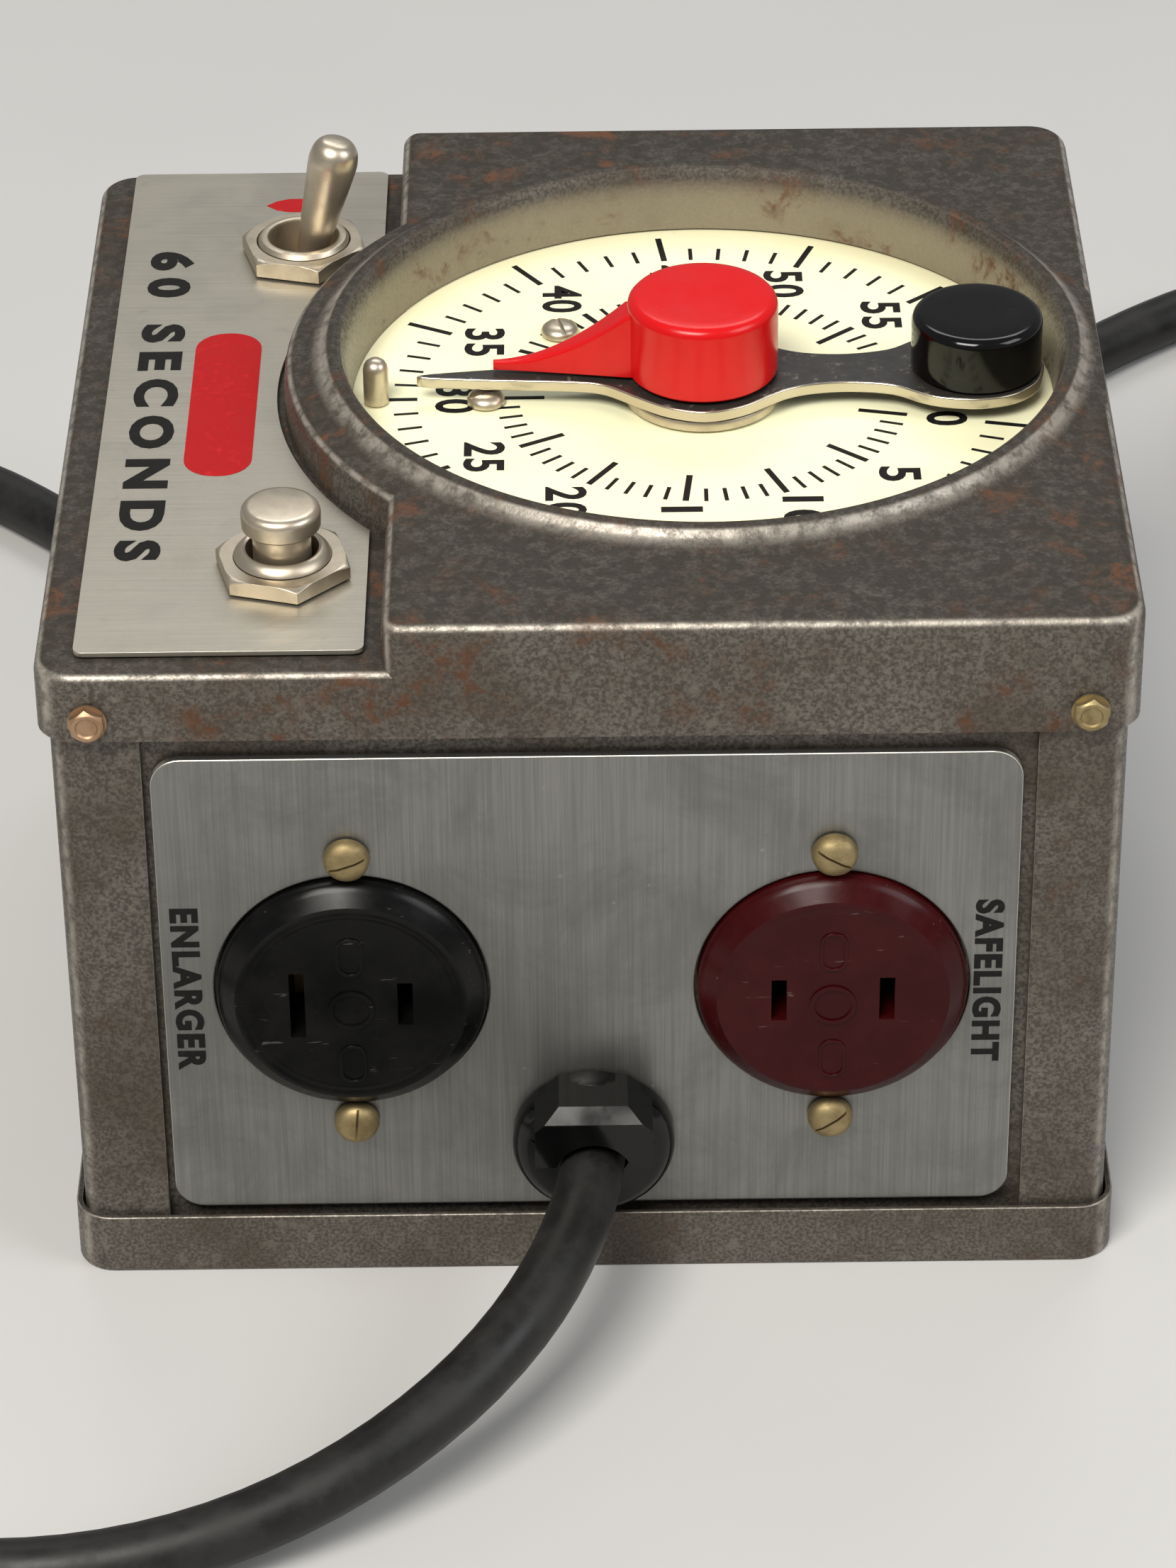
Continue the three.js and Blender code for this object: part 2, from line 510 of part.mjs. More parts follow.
function toggleSwitch() {
  const { x, y, pivot } = toggle;
  const top = 90.2;
  const stem = turned([[0, 80], [5.85, 80], [5.85, top - 0.5], [5.4, top], [4.4, top], [3.4, pivot - 3], [0, pivot - 3]], 24, x, y);
  const box = block(x - 7.5, x + 7.5, y - 14, y + 14, 64, lid.strip - lid.sheet - gap);
  const well2 = turned([[0, pivot - 3.4], [3.4, pivot - 3.4], [4.4, top], [4.4, top + 1], [0, top + 1]], 24, x, y);
  add('toggle_switch', cut(join(stem, box), well2), nickel);
  hexNut('toggle_nut', x, y, nutFoot, nutFoot + 2.2, 6.15, -15);
  const bat = turned([
    [0, -2.2], [1.6, -1.8], [2.2, -0.6], [2.1, 1], [1.95, 4], [2.45, 9], [2.9, 14], [3.1, 17], [2.75, 18.8], [1.6, 19.9], [0, 20.2],
  ], 18);
  const leaning = bat.rotateY(THREE.MathUtils.degToRad(toggle.tilt)).translate(x, y, pivot);
  add('toggle_lever', leaning, nickel);
}

function startButton() {
  const { x, y } = button;
  const top = 90.4;
  const stem = turned([
    [4.2, 79.5], [5.6, 79.5], [5.6, top - 1.1], [4.9, top - 0.3], [4.7, top], [4.2, top], [4.2, 79.5],
  ], 24, x, y);
  const drum = rod(8, 62, lid.strip - lid.sheet - gap, x, y, 24);
  const bore = rod(4.2, 76, 99, x, y);
  const deep = rod(2.1, 68, 80, x, y, 12);
  add('start_switch', cut(join(stem, drum), bore, deep), nickel);
  hexNut('start_nut', x, y, nutFoot, nutFoot + 1.9, 5.9, -16);
  const cap = turned([
    [0, 71.5], [1.8, 71.5], [1.8, 79.5], [3.4, 79.5], [3.4, 93], [4.65, 93], [4.65, 95.3], [4.1, 96], [0, 96],
  ], 24, x, y);
  add('start_button', cap, nickel);
}

// ---- Wiring inside ----
function wiring() {
  const strip = { y0: at(107), y1: at(115), z0: pan.floor + gap, z1: 10 };
  const screws = [-24, -12, 0, 12, 24].map((x) => rod(2.2, strip.z1 - 0.5, strip.z1 + 1, x, (strip.y0 + strip.y1) / 2, 8));
  add('terminal_strip', join(block(-32, 32, strip.y0, strip.y1, strip.z0, strip.z1), ...screws), fibre);
  const end = strip.y0 - gap - 1.2;
  const lead = (name, points, r) => add(name, tube(points, r, 6, 14), wireCotton);
  lead('supply_lead', [[0, at(9.4), relief.z], [0, at(20), 17], [-3, at(40), 11], [-4, at(80), 10], [0, end, 6]], 3);
  lead('outlet_lead', [[-outlet.x, at(25.6), 36], [-33, at(40), 22], [-38, at(80), 8], [-24, end, 6]], 1.6);
  lead('safelight_lead', [[outlet.x, at(25.6), 36], [41, at(28), 24], [50, at(40), 12], [49, at(92), 7], [24, end, 6]], 1.6);
  lead('toggle_lead', [[toggle.x, toggle.y, 62], [-38, at(98), 40], [-30, at(100), 14], [-12, end, 7]], 1.4);
  lead('start_lead', [[button.x, button.y + 2, 60], [-46, at(34), 50], [-50, at(80), 20], [-30, at(102), 7]], 1.4);
}

// ---- Power cord, coil and plug ----
// From the strain relief the cord arches down to the left, goes round the left side and behind the case,
// and comes out at the right, where the rest is wound up with its plug beside it.
const cordRoute = [
  [0, -1, 19.2], [-0.3, -8, 18.8], [-2.5, -17.5, 17.5], [-8.2, -30.6, 15], [-19.5, -43.5, 11], [-35, -53.4, 7],
  [-51.4, -59, 4.9], [-68.5, -60.5, 3.95], [-86, -57.5, 3.95], [-103, -50, 3.95], [-118, -38, 3.95],
  [-129.5, -22, 3.95], [-137, -2, 3.95], [-141.5, 22, 3.95], [-144, 52, 3.95], [-145.5, 86, 3.95],
  [-146, 120, 3.95], [-146, 154.5, 3.95], [-141.6, 171, 3.95], [-129.5, 183.1, 3.95], [-113, 187.5, 3.95],
  [-97.5, 183.6, 3.95], [-87.1, 174.6, 3.95], [-77.5, 163.5, 3.95], [-66, 154.6, 3.95], [-52, 149.2, 3.95],
  [-34, 147, 3.95], [-14, 148.8, 3.95], [7, 155.5, 3.95], [28, 167.5, 3.95], [46, 183, 3.95], [62.5, 201, 3.95],
  [79, 217.8, 3.95], [92.5, 229, 3.95], [106, 236.6, 3.95], [120.5, 239.4, 3.95], [134.5, 237.4, 3.95],
  [148, 232.1, 3.95],
].map(([x, fromFront, z]) => [x, at(fromFront), z]);

function powerCord() {
  add('power_cord', tube(cordRoute, cord.r, 8, 46), rubber);
  const [inner, outer] = [cord.ringR - cord.lay, cord.ringR + cord.lay];
  const ring = [[inner, 0.05], [outer, 0.05], [outer, 2 * cord.lay], [inner, 2 * cord.lay], [inner, 0.05]];
  add('cord_coil', turned(ring, 32, cord.ringX, cord.ringY), rubber);
}

function cordPlug() {
  const bodyOutline = [[0, -5], [6, -6], [14, -10], [26, -12], [30, -12], [30, 12], [26, 12], [14, 10], [6, 6], [0, 5]];
  const grip = prism(bodyOutline.map((p) => new THREE.Vector2(...p)), -7, 7);
  const blades = [-6.35, 6.35].map((s) => block(29, 46, s - 3.2, s + 3.2, -0.75, 0.75));
  const place = [cord.ringX + cord.ringR + cord.lay / 2, cord.plugY, 7.05];
  add('cord_plug', join(grip, ...blades).rotateZ(-Math.PI / 2).translate(...place), blackBakelite);
}

basePan();
caseShell();
frontPanel();
outletPlate();
drawnLid();
namePlateSheet();
lidScrews();
outlets();
strainRelief();
dialPlate();
stopPost();
dialFixings();
dialBushing();
settingLever();
limitArm();
redHand();
arbor();
gears();
chassisPlates();
movement();
returnSpring();
snapSwitch();
toggleSwitch();
startButton();
wiring();
powerCord();
cordPlug();

export default group;
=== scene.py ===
import json
import math

import bmesh
import bpy
from mathutils import Matrix, Vector


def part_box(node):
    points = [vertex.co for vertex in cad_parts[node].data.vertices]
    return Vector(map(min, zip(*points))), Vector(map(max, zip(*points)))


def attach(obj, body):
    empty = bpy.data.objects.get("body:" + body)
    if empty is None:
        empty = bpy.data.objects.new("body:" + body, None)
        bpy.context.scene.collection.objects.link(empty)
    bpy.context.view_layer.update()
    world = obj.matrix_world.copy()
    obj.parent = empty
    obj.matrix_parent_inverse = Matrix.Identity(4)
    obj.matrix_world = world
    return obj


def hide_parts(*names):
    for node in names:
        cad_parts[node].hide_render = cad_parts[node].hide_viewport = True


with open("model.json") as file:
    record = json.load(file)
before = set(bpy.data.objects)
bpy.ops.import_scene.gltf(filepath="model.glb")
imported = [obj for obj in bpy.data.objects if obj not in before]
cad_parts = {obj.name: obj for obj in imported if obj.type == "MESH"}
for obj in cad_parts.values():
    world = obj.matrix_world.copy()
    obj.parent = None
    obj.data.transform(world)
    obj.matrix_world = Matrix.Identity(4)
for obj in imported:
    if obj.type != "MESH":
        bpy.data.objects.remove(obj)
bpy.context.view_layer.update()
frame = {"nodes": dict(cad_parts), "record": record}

# A darkroom enlarger timer: hammertone steel case, drawn lid with a round dial well, two outlets, a cord.
# Lengths in this file are in millimetres until a mesh is placed, and MM turns them into metres.
MM = 0.001
scene = bpy.context.scene


def corners(node):
    low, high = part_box(node)
    return low / MM, high / MM


def middle(node):
    low, high = corners(node)
    return (low + high) / 2


# ---- Places and sizes read from the frame ----
LID_LOW, LID_HIGH = corners("lid")
CASE_LOW, CASE_HIGH = corners("case_shell")
PAN_LOW, PAN_HIGH = corners("base_pan")
PLATE_LOW, PLATE_HIGH = corners("outlet_plate")
NAME_LOW, NAME_HIGH = corners("name_plate")
DIAL_LOW, DIAL_HIGH = corners("dial")
DIAL = middle("dial")
DIAL_TOP = DIAL_HIGH.z
FRONT = PLATE_LOW.y
TOGGLE = middle("toggle_nut")
BUTTON = middle("start_nut")
SWITCH_HOLE_R = 6.2
LID_SCREWS = ["lid_screw_front_left", "lid_screw_front_right", "lid_screw_rear_left", "lid_screw_rear_right"]
# The lid: a low strip on the left, a high plateau on the right, and a rolled collar round the dial well.
SHEET = 1.0
LID_CORNER = 4.8
STRIP_TOP = NAME_LOW.z - 0.3
PLATEAU_TOP = 92.2
PLATEAU_LEFT = -23.4
CREST = LID_HIGH.z
WELL_R = 43.0
BOSS_R = 51.2
# Heights clear of the lid, for cutters that pass right through it.
UNDER = 60
OVER = 110


# ---- Mesh helpers ----
def to_mesh(bm, name="part"):
    mesh = bpy.data.meshes.new(name)
    bmesh.ops.recalc_face_normals(bm, faces=bm.faces)
    bm.to_mesh(mesh)
    bm.free()
    return mesh


def evaluated(obj):
    bpy.context.view_layer.update()
    graph = bpy.context.evaluated_depsgraph_get()
    mesh = bpy.data.meshes.new_from_object(obj.evaluated_get(graph), depsgraph=graph)
    data = obj.data
    bpy.data.objects.remove(obj)
    if isinstance(data, bpy.types.Mesh):
        bpy.data.meshes.remove(data)
    else:
        bpy.data.curves.remove(data)
    return mesh


def linked(name, data):
    obj = bpy.data.objects.new(name, data)
    scene.collection.objects.link(obj)
    return obj


def lathe(profile, steps=96, centre=(0, 0)):
    """A profile of (radius, height) turned about a vertical axis. It ends on the axis or on its start."""
    bm = bmesh.new()
    closed = profile[0] == profile[-1]
    points = profile[:-1] if closed else profile
    rings = []
    for r, z in points:
        if r < 1e-6:
            rings.append([bm.verts.new((centre[0], centre[1], z))])
            continue
        ring = []
        for i in range(steps):
            a = 2 * math.pi * i / steps
            ring.append(bm.verts.new((centre[0] + r * math.cos(a), centre[1] + r * math.sin(a), z)))
        rings.append(ring)
    pairs = list(zip(rings, rings[1:] + ([rings[0]] if closed else [])))
    for one, two in pairs:
        for i in range(steps):
            j = (i + 1) % steps
            if len(one) == 1 and len(two) > 1:
                bm.faces.new((one[0], two[i], two[j]))
            elif len(two) == 1 and len(one) > 1:
                bm.faces.new((one[i], one[j], two[0]))
            elif len(one) > 1:
                bm.faces.new((one[i], one[j], two[j], two[i]))
    return to_mesh(bm)


def pin(r, z0, z1, steps=48, centre=(0, 0)):
    """A plain upright cylinder."""
    return lathe([(0, z0), (r, z0), (r, z1), (0, z1)], steps, centre)


def arc_between(centre, r, start, end, steps):
    turn = math.radians(end - start)
    first = math.radians(start)
    angles = [first + turn * i / steps for i in range(steps + 1)]
    return [(centre[0] + r * math.cos(a), centre[1] + r * math.sin(a)) for a in angles]


def rounded_rect(x0, x1, y0, y1, radii, steps=8):
    """Counter-clockwise from the front left corner; radii may be one number or four."""
    r = list(radii) if isinstance(radii, (list, tuple)) else [radii] * 4
    r = [max(value, 0.01) for value in r]
    centres = [(x0 + r[0], y0 + r[0]), (x1 - r[1], y0 + r[1]), (x1 - r[2], y1 - r[2]), (x0 + r[3], y1 - r[3])]
    starts = [180, 270, 0, 90]
    return [p for c, rad, s in zip(centres, r, starts) for p in arc_between(c, rad, s, s + 90, steps)]


def circle(r, centre=(0, 0), steps=64):
    return arc_between(centre, r, 0, 360, steps)[:-1]


def smooth_line(points, steps):
    """A Catmull-Rom curve through the points, of any number of dimensions."""
    pts = [Vector(p) for p in points]
    last = len(pts) - 1
    out = []
    for i in range(last):
        p = [pts[max(i - 1, 0)], pts[i], pts[i + 1], pts[min(i + 2, last)]]
        for k in range(steps):
            t = k / steps
            a = 2 * p[1] + (p[2] - p[0]) * t
            b = (2 * p[0] - 5 * p[1] + 4 * p[2] - p[3]) * t * t
            c = (3 * p[1] - p[0] - 3 * p[2] + p[3]) * t ** 3
            out.append((a + b + c) / 2)
    out.append(pts[last])
    return [tuple(p) for p in out]


def stack(layers):
    """A closed solid through outlines of equal length: each layer is (outline, height)."""
    bm = bmesh.new()
    rings = [[bm.verts.new((x, y, z)) for x, y in outline] for outline, z in layers]
    count = len(rings[0])
    for one, two in zip(rings, rings[1:]):
        for i in range(count):
            j = (i + 1) % count
            bm.faces.new((one[i], one[j], two[j], two[i]))
    bm.faces.new(list(reversed(rings[0])))
    bm.faces.new(rings[-1])
    return to_mesh(bm)


def prism(outline, z0, z1):
    return stack([(outline, z0), (outline, z1)])


def block(x0, x1, y0, y1, z0, z1):
    return prism([(x0, y0), (x1, y0), (x1, y1), (x0, y1)], z0, z1)


def soft_slab(x0, x1, y0, y1, radii, z0, z1, edge, steps=6):
    """A rounded rectangle whose top edge rolls over with radius edge."""
    radii = list(radii) if isinstance(radii, (list, tuple)) else [radii] * 4
    layers = [(rounded_rect(x0, x1, y0, y1, radii), z0)]
    for i in range(steps + 1):
        a = math.pi / 2 * i / steps
        inset = edge * (1 - math.cos(a))
        inner = [max(r - inset, 0.05) for r in radii]
        outline = rounded_rect(x0 + inset, x1 - inset, y0 + inset, y1 - inset, inner)
        layers.append((outline, z1 - edge + edge * math.sin(a)))
    return stack(layers)


def sheet(loops, z0, z1, edge=0.15):
    """A flat plate with holes: the first loop is the outside, the others are holes. Its rims are rounded."""
    curve = bpy.data.curves.new("sheet", "CURVE")
    curve.dimensions = "2D"
    curve.fill_mode = "BOTH"
    curve.extrude = (z1 - z0) / 2 - edge
    curve.bevel_depth = edge
    curve.bevel_resolution = 2
    curve.offset = -edge
    for loop in loops:
        spline = curve.splines.new("POLY")
        spline.points.add(len(loop) - 1)
        for point, (x, y) in zip(spline.points, loop):
            point.co = (x, y, 0, 1)
        spline.use_cyclic_u = True
    mesh = evaluated(linked("sheet", curve))
    mesh.transform(Matrix.Translation((0, 0, (z0 + z1) / 2)))
    return welded(mesh)


def welded(mesh, distance=0.001):
    bm = bmesh.new()
    bm.from_mesh(mesh)
    bmesh.ops.remove_doubles(bm, verts=bm.verts, dist=distance)
    bmesh.ops.recalc_face_normals(bm, faces=bm.faces)
    bm.to_mesh(mesh)
    bm.free()
    return mesh


def boolean(operation, base, *tools):
    obj = linked("base", base)
    helpers = []
    for tool in tools:
        helper = linked("tool", tool)
        helpers.append(helper)
        step = obj.modifiers.new("cut", "BOOLEAN")
        step.operation = operation
        step.solver = "EXACT"
        step.object = helper
    mesh = evaluated(obj)
    for helper in helpers:
        data = helper.data
        bpy.data.objects.remove(helper)
        bpy.data.meshes.remove(data)
    return mesh


def cut(base, *tools):
    return boolean("DIFFERENCE", base, *tools)


def union(base, *tools):
    return boolean("UNION", base, *tools)


def together(*meshes):
    """Several closed bodies in one mesh, without joining their surfaces."""
    bm = bmesh.new()
    for mesh in meshes:
        bm.from_mesh(mesh)
        bpy.data.meshes.remove(mesh)
    mesh = bpy.data.meshes.new("group")
    bm.to_mesh(mesh)
    bm.free()
    return mesh


def moved(mesh, x=0, y=0, z=0, turn=0, tilt=None):
    """Turned about +Z by turn degrees, then by the optional tilt (degrees, axis), then shifted."""
    matrix = Matrix.Rotation(math.radians(turn), 4, "Z")
    if tilt:
        matrix = Matrix.Rotation(math.radians(tilt[0]), 4, tilt[1]) @ matrix
    mesh.transform(Matrix.Translation((x, y, z)) @ matrix)
    return mesh


def facing_front(mesh, x, y, z, spin=0):
    return moved(moved(mesh, turn=spin), x, y, z, tilt=(90, "X"))


def piece(name, mesh, body, slot, material, *nodes, crease=35, bevel=0.0, segments=2):
    """Puts a mesh in the scene in metres, on its body, in place of the CAD nodes that it stands for."""
    mesh.transform(Matrix.Scale(MM, 4))
    mesh.name = name
    mesh.materials.clear()
    mesh.materials.append(material)
    mesh.shade_smooth()
    mesh.set_sharp_from_angle(angle=math.radians(crease))
    obj = linked(name, mesh)
    finish_edges(obj, bevel, segments)
    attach(obj, body)
    if nodes:
        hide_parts(*nodes)
    return obj


def finish_edges(obj, bevel, segments=2):
    if bevel:
        rounding = obj.modifiers.new("edges", "BEVEL")
        rounding.width = bevel * MM
        rounding.segments = segments
        rounding.limit_method = "ANGLE"
        rounding.angle_limit = math.radians(35)
        rounding.use_clamp_overlap = True
    weighted = obj.modifiers.new("normals", "WEIGHTED_NORMAL")
    weighted.keep_sharp = not bevel


def lettering(body, height, length, thick=0.05, bold=0.0, spacing=1.0):
    """Thin raised letters, centred on the origin, reading along +X with their tops towards +Y.

    height is that of the capitals and length that of the whole word; bold thickens the strokes."""
    curve = bpy.data.curves.new("letters", "FONT")
    curve.body = body
    curve.size = 1.0
    curve.space_character = spacing
    curve.align_x = "CENTER"
    curve.align_y = "CENTER"
    curve.resolution_u = 4
    plain = evaluated(linked("letters", curve.copy()))
    tall = max(v.co.y for v in plain.vertices) - min(v.co.y for v in plain.vertices)
    scale = height / tall
    curve.extrude = thick / 2 / scale
    curve.offset = bold / scale
    mesh = evaluated(linked("letters", curve))
    xs = [v.co.x for v in mesh.vertices]
    stretch = length / (max(xs) - min(xs))
    mesh.transform(Matrix.Diagonal((stretch, scale, scale, 1)))
    ys = [v.co.y for v in mesh.vertices]
    return moved(welded(mesh), -stretch * (min(xs) + max(xs)) / 2, -(min(ys) + max(ys)) / 2)


# ---- Materials ----
class Shader:
    """A node material. Its calls return sockets, so that they nest."""

    def __init__(self, name):
        self.material = bpy.data.materials.new(name)
        self.material.use_nodes = True
        self.tree = self.material.node_tree
        self.surface = self.tree.nodes["Principled BSDF"]
        coordinates = self.tree.nodes.new("ShaderNodeTexCoord")
        self.place = coordinates.outputs["Object"]
        self.normal = coordinates.outputs["Normal"]

    def put(self, socket, value):
        if isinstance(value, bpy.types.NodeSocket):
            self.tree.links.new(value, socket)
        elif isinstance(value, (tuple, list)) and len(value) == 3 and len(socket.default_value) == 4:
            socket.default_value = (*value, 1)
        else:
            socket.default_value = value

    def node(self, kind, inputs, output=0, **settings):
        made = self.tree.nodes.new("ShaderNode" + kind)
        for key, value in settings.items():
            setattr(made, key, value)
        for key, value in inputs.items():
            self.put(made.inputs[key], value)
        return made.outputs[output]

    def stretched(self, x, y, z):
        return self.node("Mapping", {"Vector": self.place, "Scale": (x, y, z)})

    def noise(self, size, detail=3, rough=0.55, where=None, twist=0.0):
        """Cloudy values round 0.5; size is the width of a cloud in millimetres."""
        inputs = {"Vector": where or self.place, "Scale": 1 / (size * MM), "Detail": detail}
        return self.node("TexNoise", {**inputs, "Roughness": rough, "Distortion": twist})

    def cells(self, size):
        return self.node("TexVoronoi", {"Vector": self.place, "Scale": 1 / (size * MM)})

    def step(self, value, low, high, start=0.0, end=1.0):
        """start where the value is at or below low, end at or above high, and eased between."""
        inputs = {"Value": value, "From Min": low, "From Max": high, "To Min": start, "To Max": end}
        return self.node("MapRange", inputs, interpolation_type="SMOOTHSTEP")

    def sum(self, operation, one, two=0.0):
        made = self.tree.nodes.new("ShaderNodeMath")
        made.operation = operation
        self.put(made.inputs[0], one)
        self.put(made.inputs[1], two)
        return made.outputs[0]

    def mix(self, factor, one, two):
        made = self.tree.nodes.new("ShaderNodeMix")
        made.data_type = "RGBA"
        self.put(made.inputs[0], factor)
        self.put(made.inputs[6], one)
        self.put(made.inputs[7], two)
        return made.outputs[2]

    def part(self, vector, axis):
        return self.node("SeparateXYZ", {"Vector": vector}, "XYZ".index(axis))

    def edges(self, low=0.06, high=0.3):
        """1 on rounded rims, where the surface faces no axis squarely, and 0 on flat faces."""
        parts = [self.sum("ABSOLUTE", self.part(self.normal, axis)) for axis in "XYZ"]
        squarest = self.sum("MAXIMUM", self.sum("MAXIMUM", parts[0], parts[1]), parts[2])
        return self.step(self.sum("SUBTRACT", 1.0, squarest), low, high)

    def rims(self, low=0.06, high=0.26):
        """1 where the surface leans between upright and level, at any heading."""
        up = self.sum("ABSOLUTE", self.part(self.normal, "Z"))
        flat = self.sum("SQRT", self.sum("SUBTRACT", 1.0, self.sum("MULTIPLY", up, up)))
        return self.step(self.sum("SUBTRACT", 1.0, self.sum("MAXIMUM", up, flat)), low, high)

    def from_dial(self):
        """Distance from the dial's axis, in metres."""
        axis = (DIAL.x * MM, DIAL.y * MM, 0)
        offset = self.node("VectorMath", {0: self.place, 1: axis}, operation="SUBTRACT")
        level = self.node("VectorMath", {0: offset, 1: (1.0, 1.0, 0.0)}, operation="MULTIPLY")
        return self.node("VectorMath", {0: level}, output=1, operation="LENGTH")

    def bump(self, height, depth, strength=1.0):
        inputs = {"Height": height, "Distance": depth * MM, "Strength": strength}
        self.put(self.surface.inputs["Normal"], self.node("Bump", inputs))

    def set(self, **values):
        for key, value in values.items():
            self.put(self.surface.inputs[key.replace("_", " ")], value)
        return self.material


def enamel(name, rust, wear=1.0):
    """Warm dark grey hammertone: fine metal speckle, painted shade on level faces, painted light on the wall
    of the dial well, rust, and bright rims that are partly wear and partly a painted highlight.
    """
    s = Shader(name)
    speckle = s.noise(0.42, detail=3, rough=0.6)
    grain = s.noise(1.6, detail=4, rough=0.6)
    cloud = s.noise(17, detail=5, rough=0.62)
    base = s.mix(s.step(speckle, 0.37, 0.65), (0.072, 0.063, 0.054), (0.158, 0.142, 0.121))
    base = s.mix(s.step(grain, 0.54, 0.68, 0.0, 0.6), base, (0.19, 0.171, 0.145))
    base = s.mix(s.step(cloud, 0.38, 0.7, 0.0, 0.6), base, (0.06, 0.044, 0.03))
    up = s.step(s.sum("ABSOLUTE", s.part(s.normal, "Z")), 0.7, 0.95)
    # Painted shade: level faces are darkened in patches.
    painted_level_shade = s.step(grain, 0.36, 0.62, 0.58, 0.9)
    base = s.mix(s.sum("MULTIPLY", up, painted_level_shade), base, (0.024, 0.0195, 0.0145))
    # Painted light: the wall of the dial well, above the dial, is painted lighter than the rest of the
    # enamel.
    inside = s.step(s.from_dial(), (WELL_R + 0.8) * MM, (WELL_R + 0.2) * MM)
    well = s.sum("MULTIPLY", inside, s.step(s.part(s.place, "Z"), 0.085, 0.0862))
    base = s.mix(s.sum("MULTIPLY", well, 0.85), base, (0.28, 0.245, 0.185))
    spots = s.noise(5.5, detail=6, rough=0.75, twist=0.4)
    rusty = s.step(spots, 0.66 - 0.22 * rust, 0.78 - 0.18 * rust)
    rusty = s.sum("MULTIPLY", rusty, s.step(cloud, 0.47, 0.62))
    base = s.mix(s.sum("MULTIPLY", rusty, 0.85), base, (0.13, 0.052, 0.023))
    # Rounded rims are painted pale: partly worn enamel, partly a painted highlight.
    patchy = s.step(s.noise(2.4, detail=5, rough=0.7), 0.34, 0.6, 0.15, 1.0)
    off_collar = s.step(s.from_dial(), 0.053, 0.056)
    corners_only = s.sum("MULTIPLY", s.edges(0.1, 0.3), off_collar)
    worn = s.sum("MULTIPLY", s.sum("MAXIMUM", s.rims(0.1, 0.27), corners_only), patchy)
    wear_and_painted_highlight = s.sum("MULTIPLY", worn, 0.8 * wear)
    base = s.mix(wear_and_painted_highlight, base, (0.43, 0.39, 0.335))
    matt = s.sum("MAXIMUM", rusty, s.sum("MULTIPLY", up, 0.75))
    rough = s.node("Mix", {0: matt, 2: s.step(speckle, 0.3, 0.7, 0.48, 0.32), 3: 0.75})
    s.bump(s.sum("ADD", s.sum("MULTIPLY", grain, 0.9), s.sum("MULTIPLY", speckle, 0.6)), 0.1, 0.6)
    metal = s.step(up, 0, 1, 0.45, 0.15)
    return s.set(Base_Color=base, Metallic=metal, Roughness=rough, Specular_IOR_Level=0.3)


def brushed(name, across, colour, dark, gloss=0.36):
    """Sheet metal with fine lines, which run where the scale called across is small; its rounded rims carry a
    painted highlight.
    """
    s = Shader(name)
    lines = s.noise(0.3, detail=3, rough=0.6, where=s.stretched(*across))
    smudge = s.noise(15, detail=6, rough=0.7, twist=0.6)
    stain = s.noise(3.6, detail=5, rough=0.7, twist=0.3)
    base = s.mix(s.step(lines, 0.25, 0.75, 0.3, 0.7), dark, colour)
    base = s.mix(s.step(smudge, 0.4, 0.72, 0.0, 0.55), base, dark)
    base = s.mix(s.step(stain, 0.6, 0.76, 0.0, 0.3), base, (0.16, 0.14, 0.11))
    fleck = s.step(s.cells(3.4), 0.085, 0.045)
    fleck = s.sum("MULTIPLY", fleck, s.step(s.noise(9, detail=2), 0.55, 0.66))
    base = s.mix(s.sum("MULTIPLY", fleck, 0.35), base, (0.5, 0.48, 0.44))
    # Painted highlight: the rounded rims are painted near white.
    base = s.mix(s.sum("MULTIPLY", s.edges(0.03, 0.2), 0.85), base, (0.85, 0.81, 0.73))
    rough = s.step(smudge, 0.35, 0.75, gloss, gloss + 0.14)
    s.bump(lines, 0.02, 0.2)
    return s.set(Base_Color=base, Metallic=0.88, Roughness=rough)


def plated(name, colour, grime, gloss=0.2, amount=0.5):
    """Nickel, zinc or brass with tarnish in patches and fine turning lines."""
    s = Shader(name)
    patch = s.noise(4.0, detail=5, rough=0.65, twist=0.3)
    fine = s.noise(0.25, detail=3, rough=0.6, where=s.stretched(0.25, 0.25, 3.0))
    base = s.mix(s.step(patch, 0.42, 0.72, 0.0, amount), colour, grime)
    rough = s.step(patch, 0.3, 0.75, gloss, gloss + 0.18)
    s.bump(fine, 0.008, 0.25)
    return s.set(Base_Color=base, Metallic=0.95, Roughness=rough)


def moulded(name, colour, faded, gloss, scuff, shine):
    """Glossy moulding with handling haze and fine scratches."""
    s = Shader(name)
    haze = s.noise(7, detail=5, rough=0.65)
    scratch = s.noise(0.5, detail=2, where=s.stretched(0.12, 1.4, 0.9), twist=0.5)
    base = s.mix(s.step(haze, 0.38, 0.75, 0.0, 0.7), colour, faded)
    marks = s.sum("MULTIPLY", s.step(scratch, 0.68, 0.75), s.step(haze, 0.45, 0.6, 0.0, scuff))
    base = s.mix(marks, base, (0.2, 0.18, 0.17))
    s.bump(s.sum("ADD", haze, s.sum("MULTIPLY", marks, 0.5)), 0.04, 0.12)
    rough = s.step(haze, 0.3, 0.75, gloss, gloss + 0.12)
    return s.set(Base_Color=base, Roughness=rough, Specular_IOR_Level=shine)


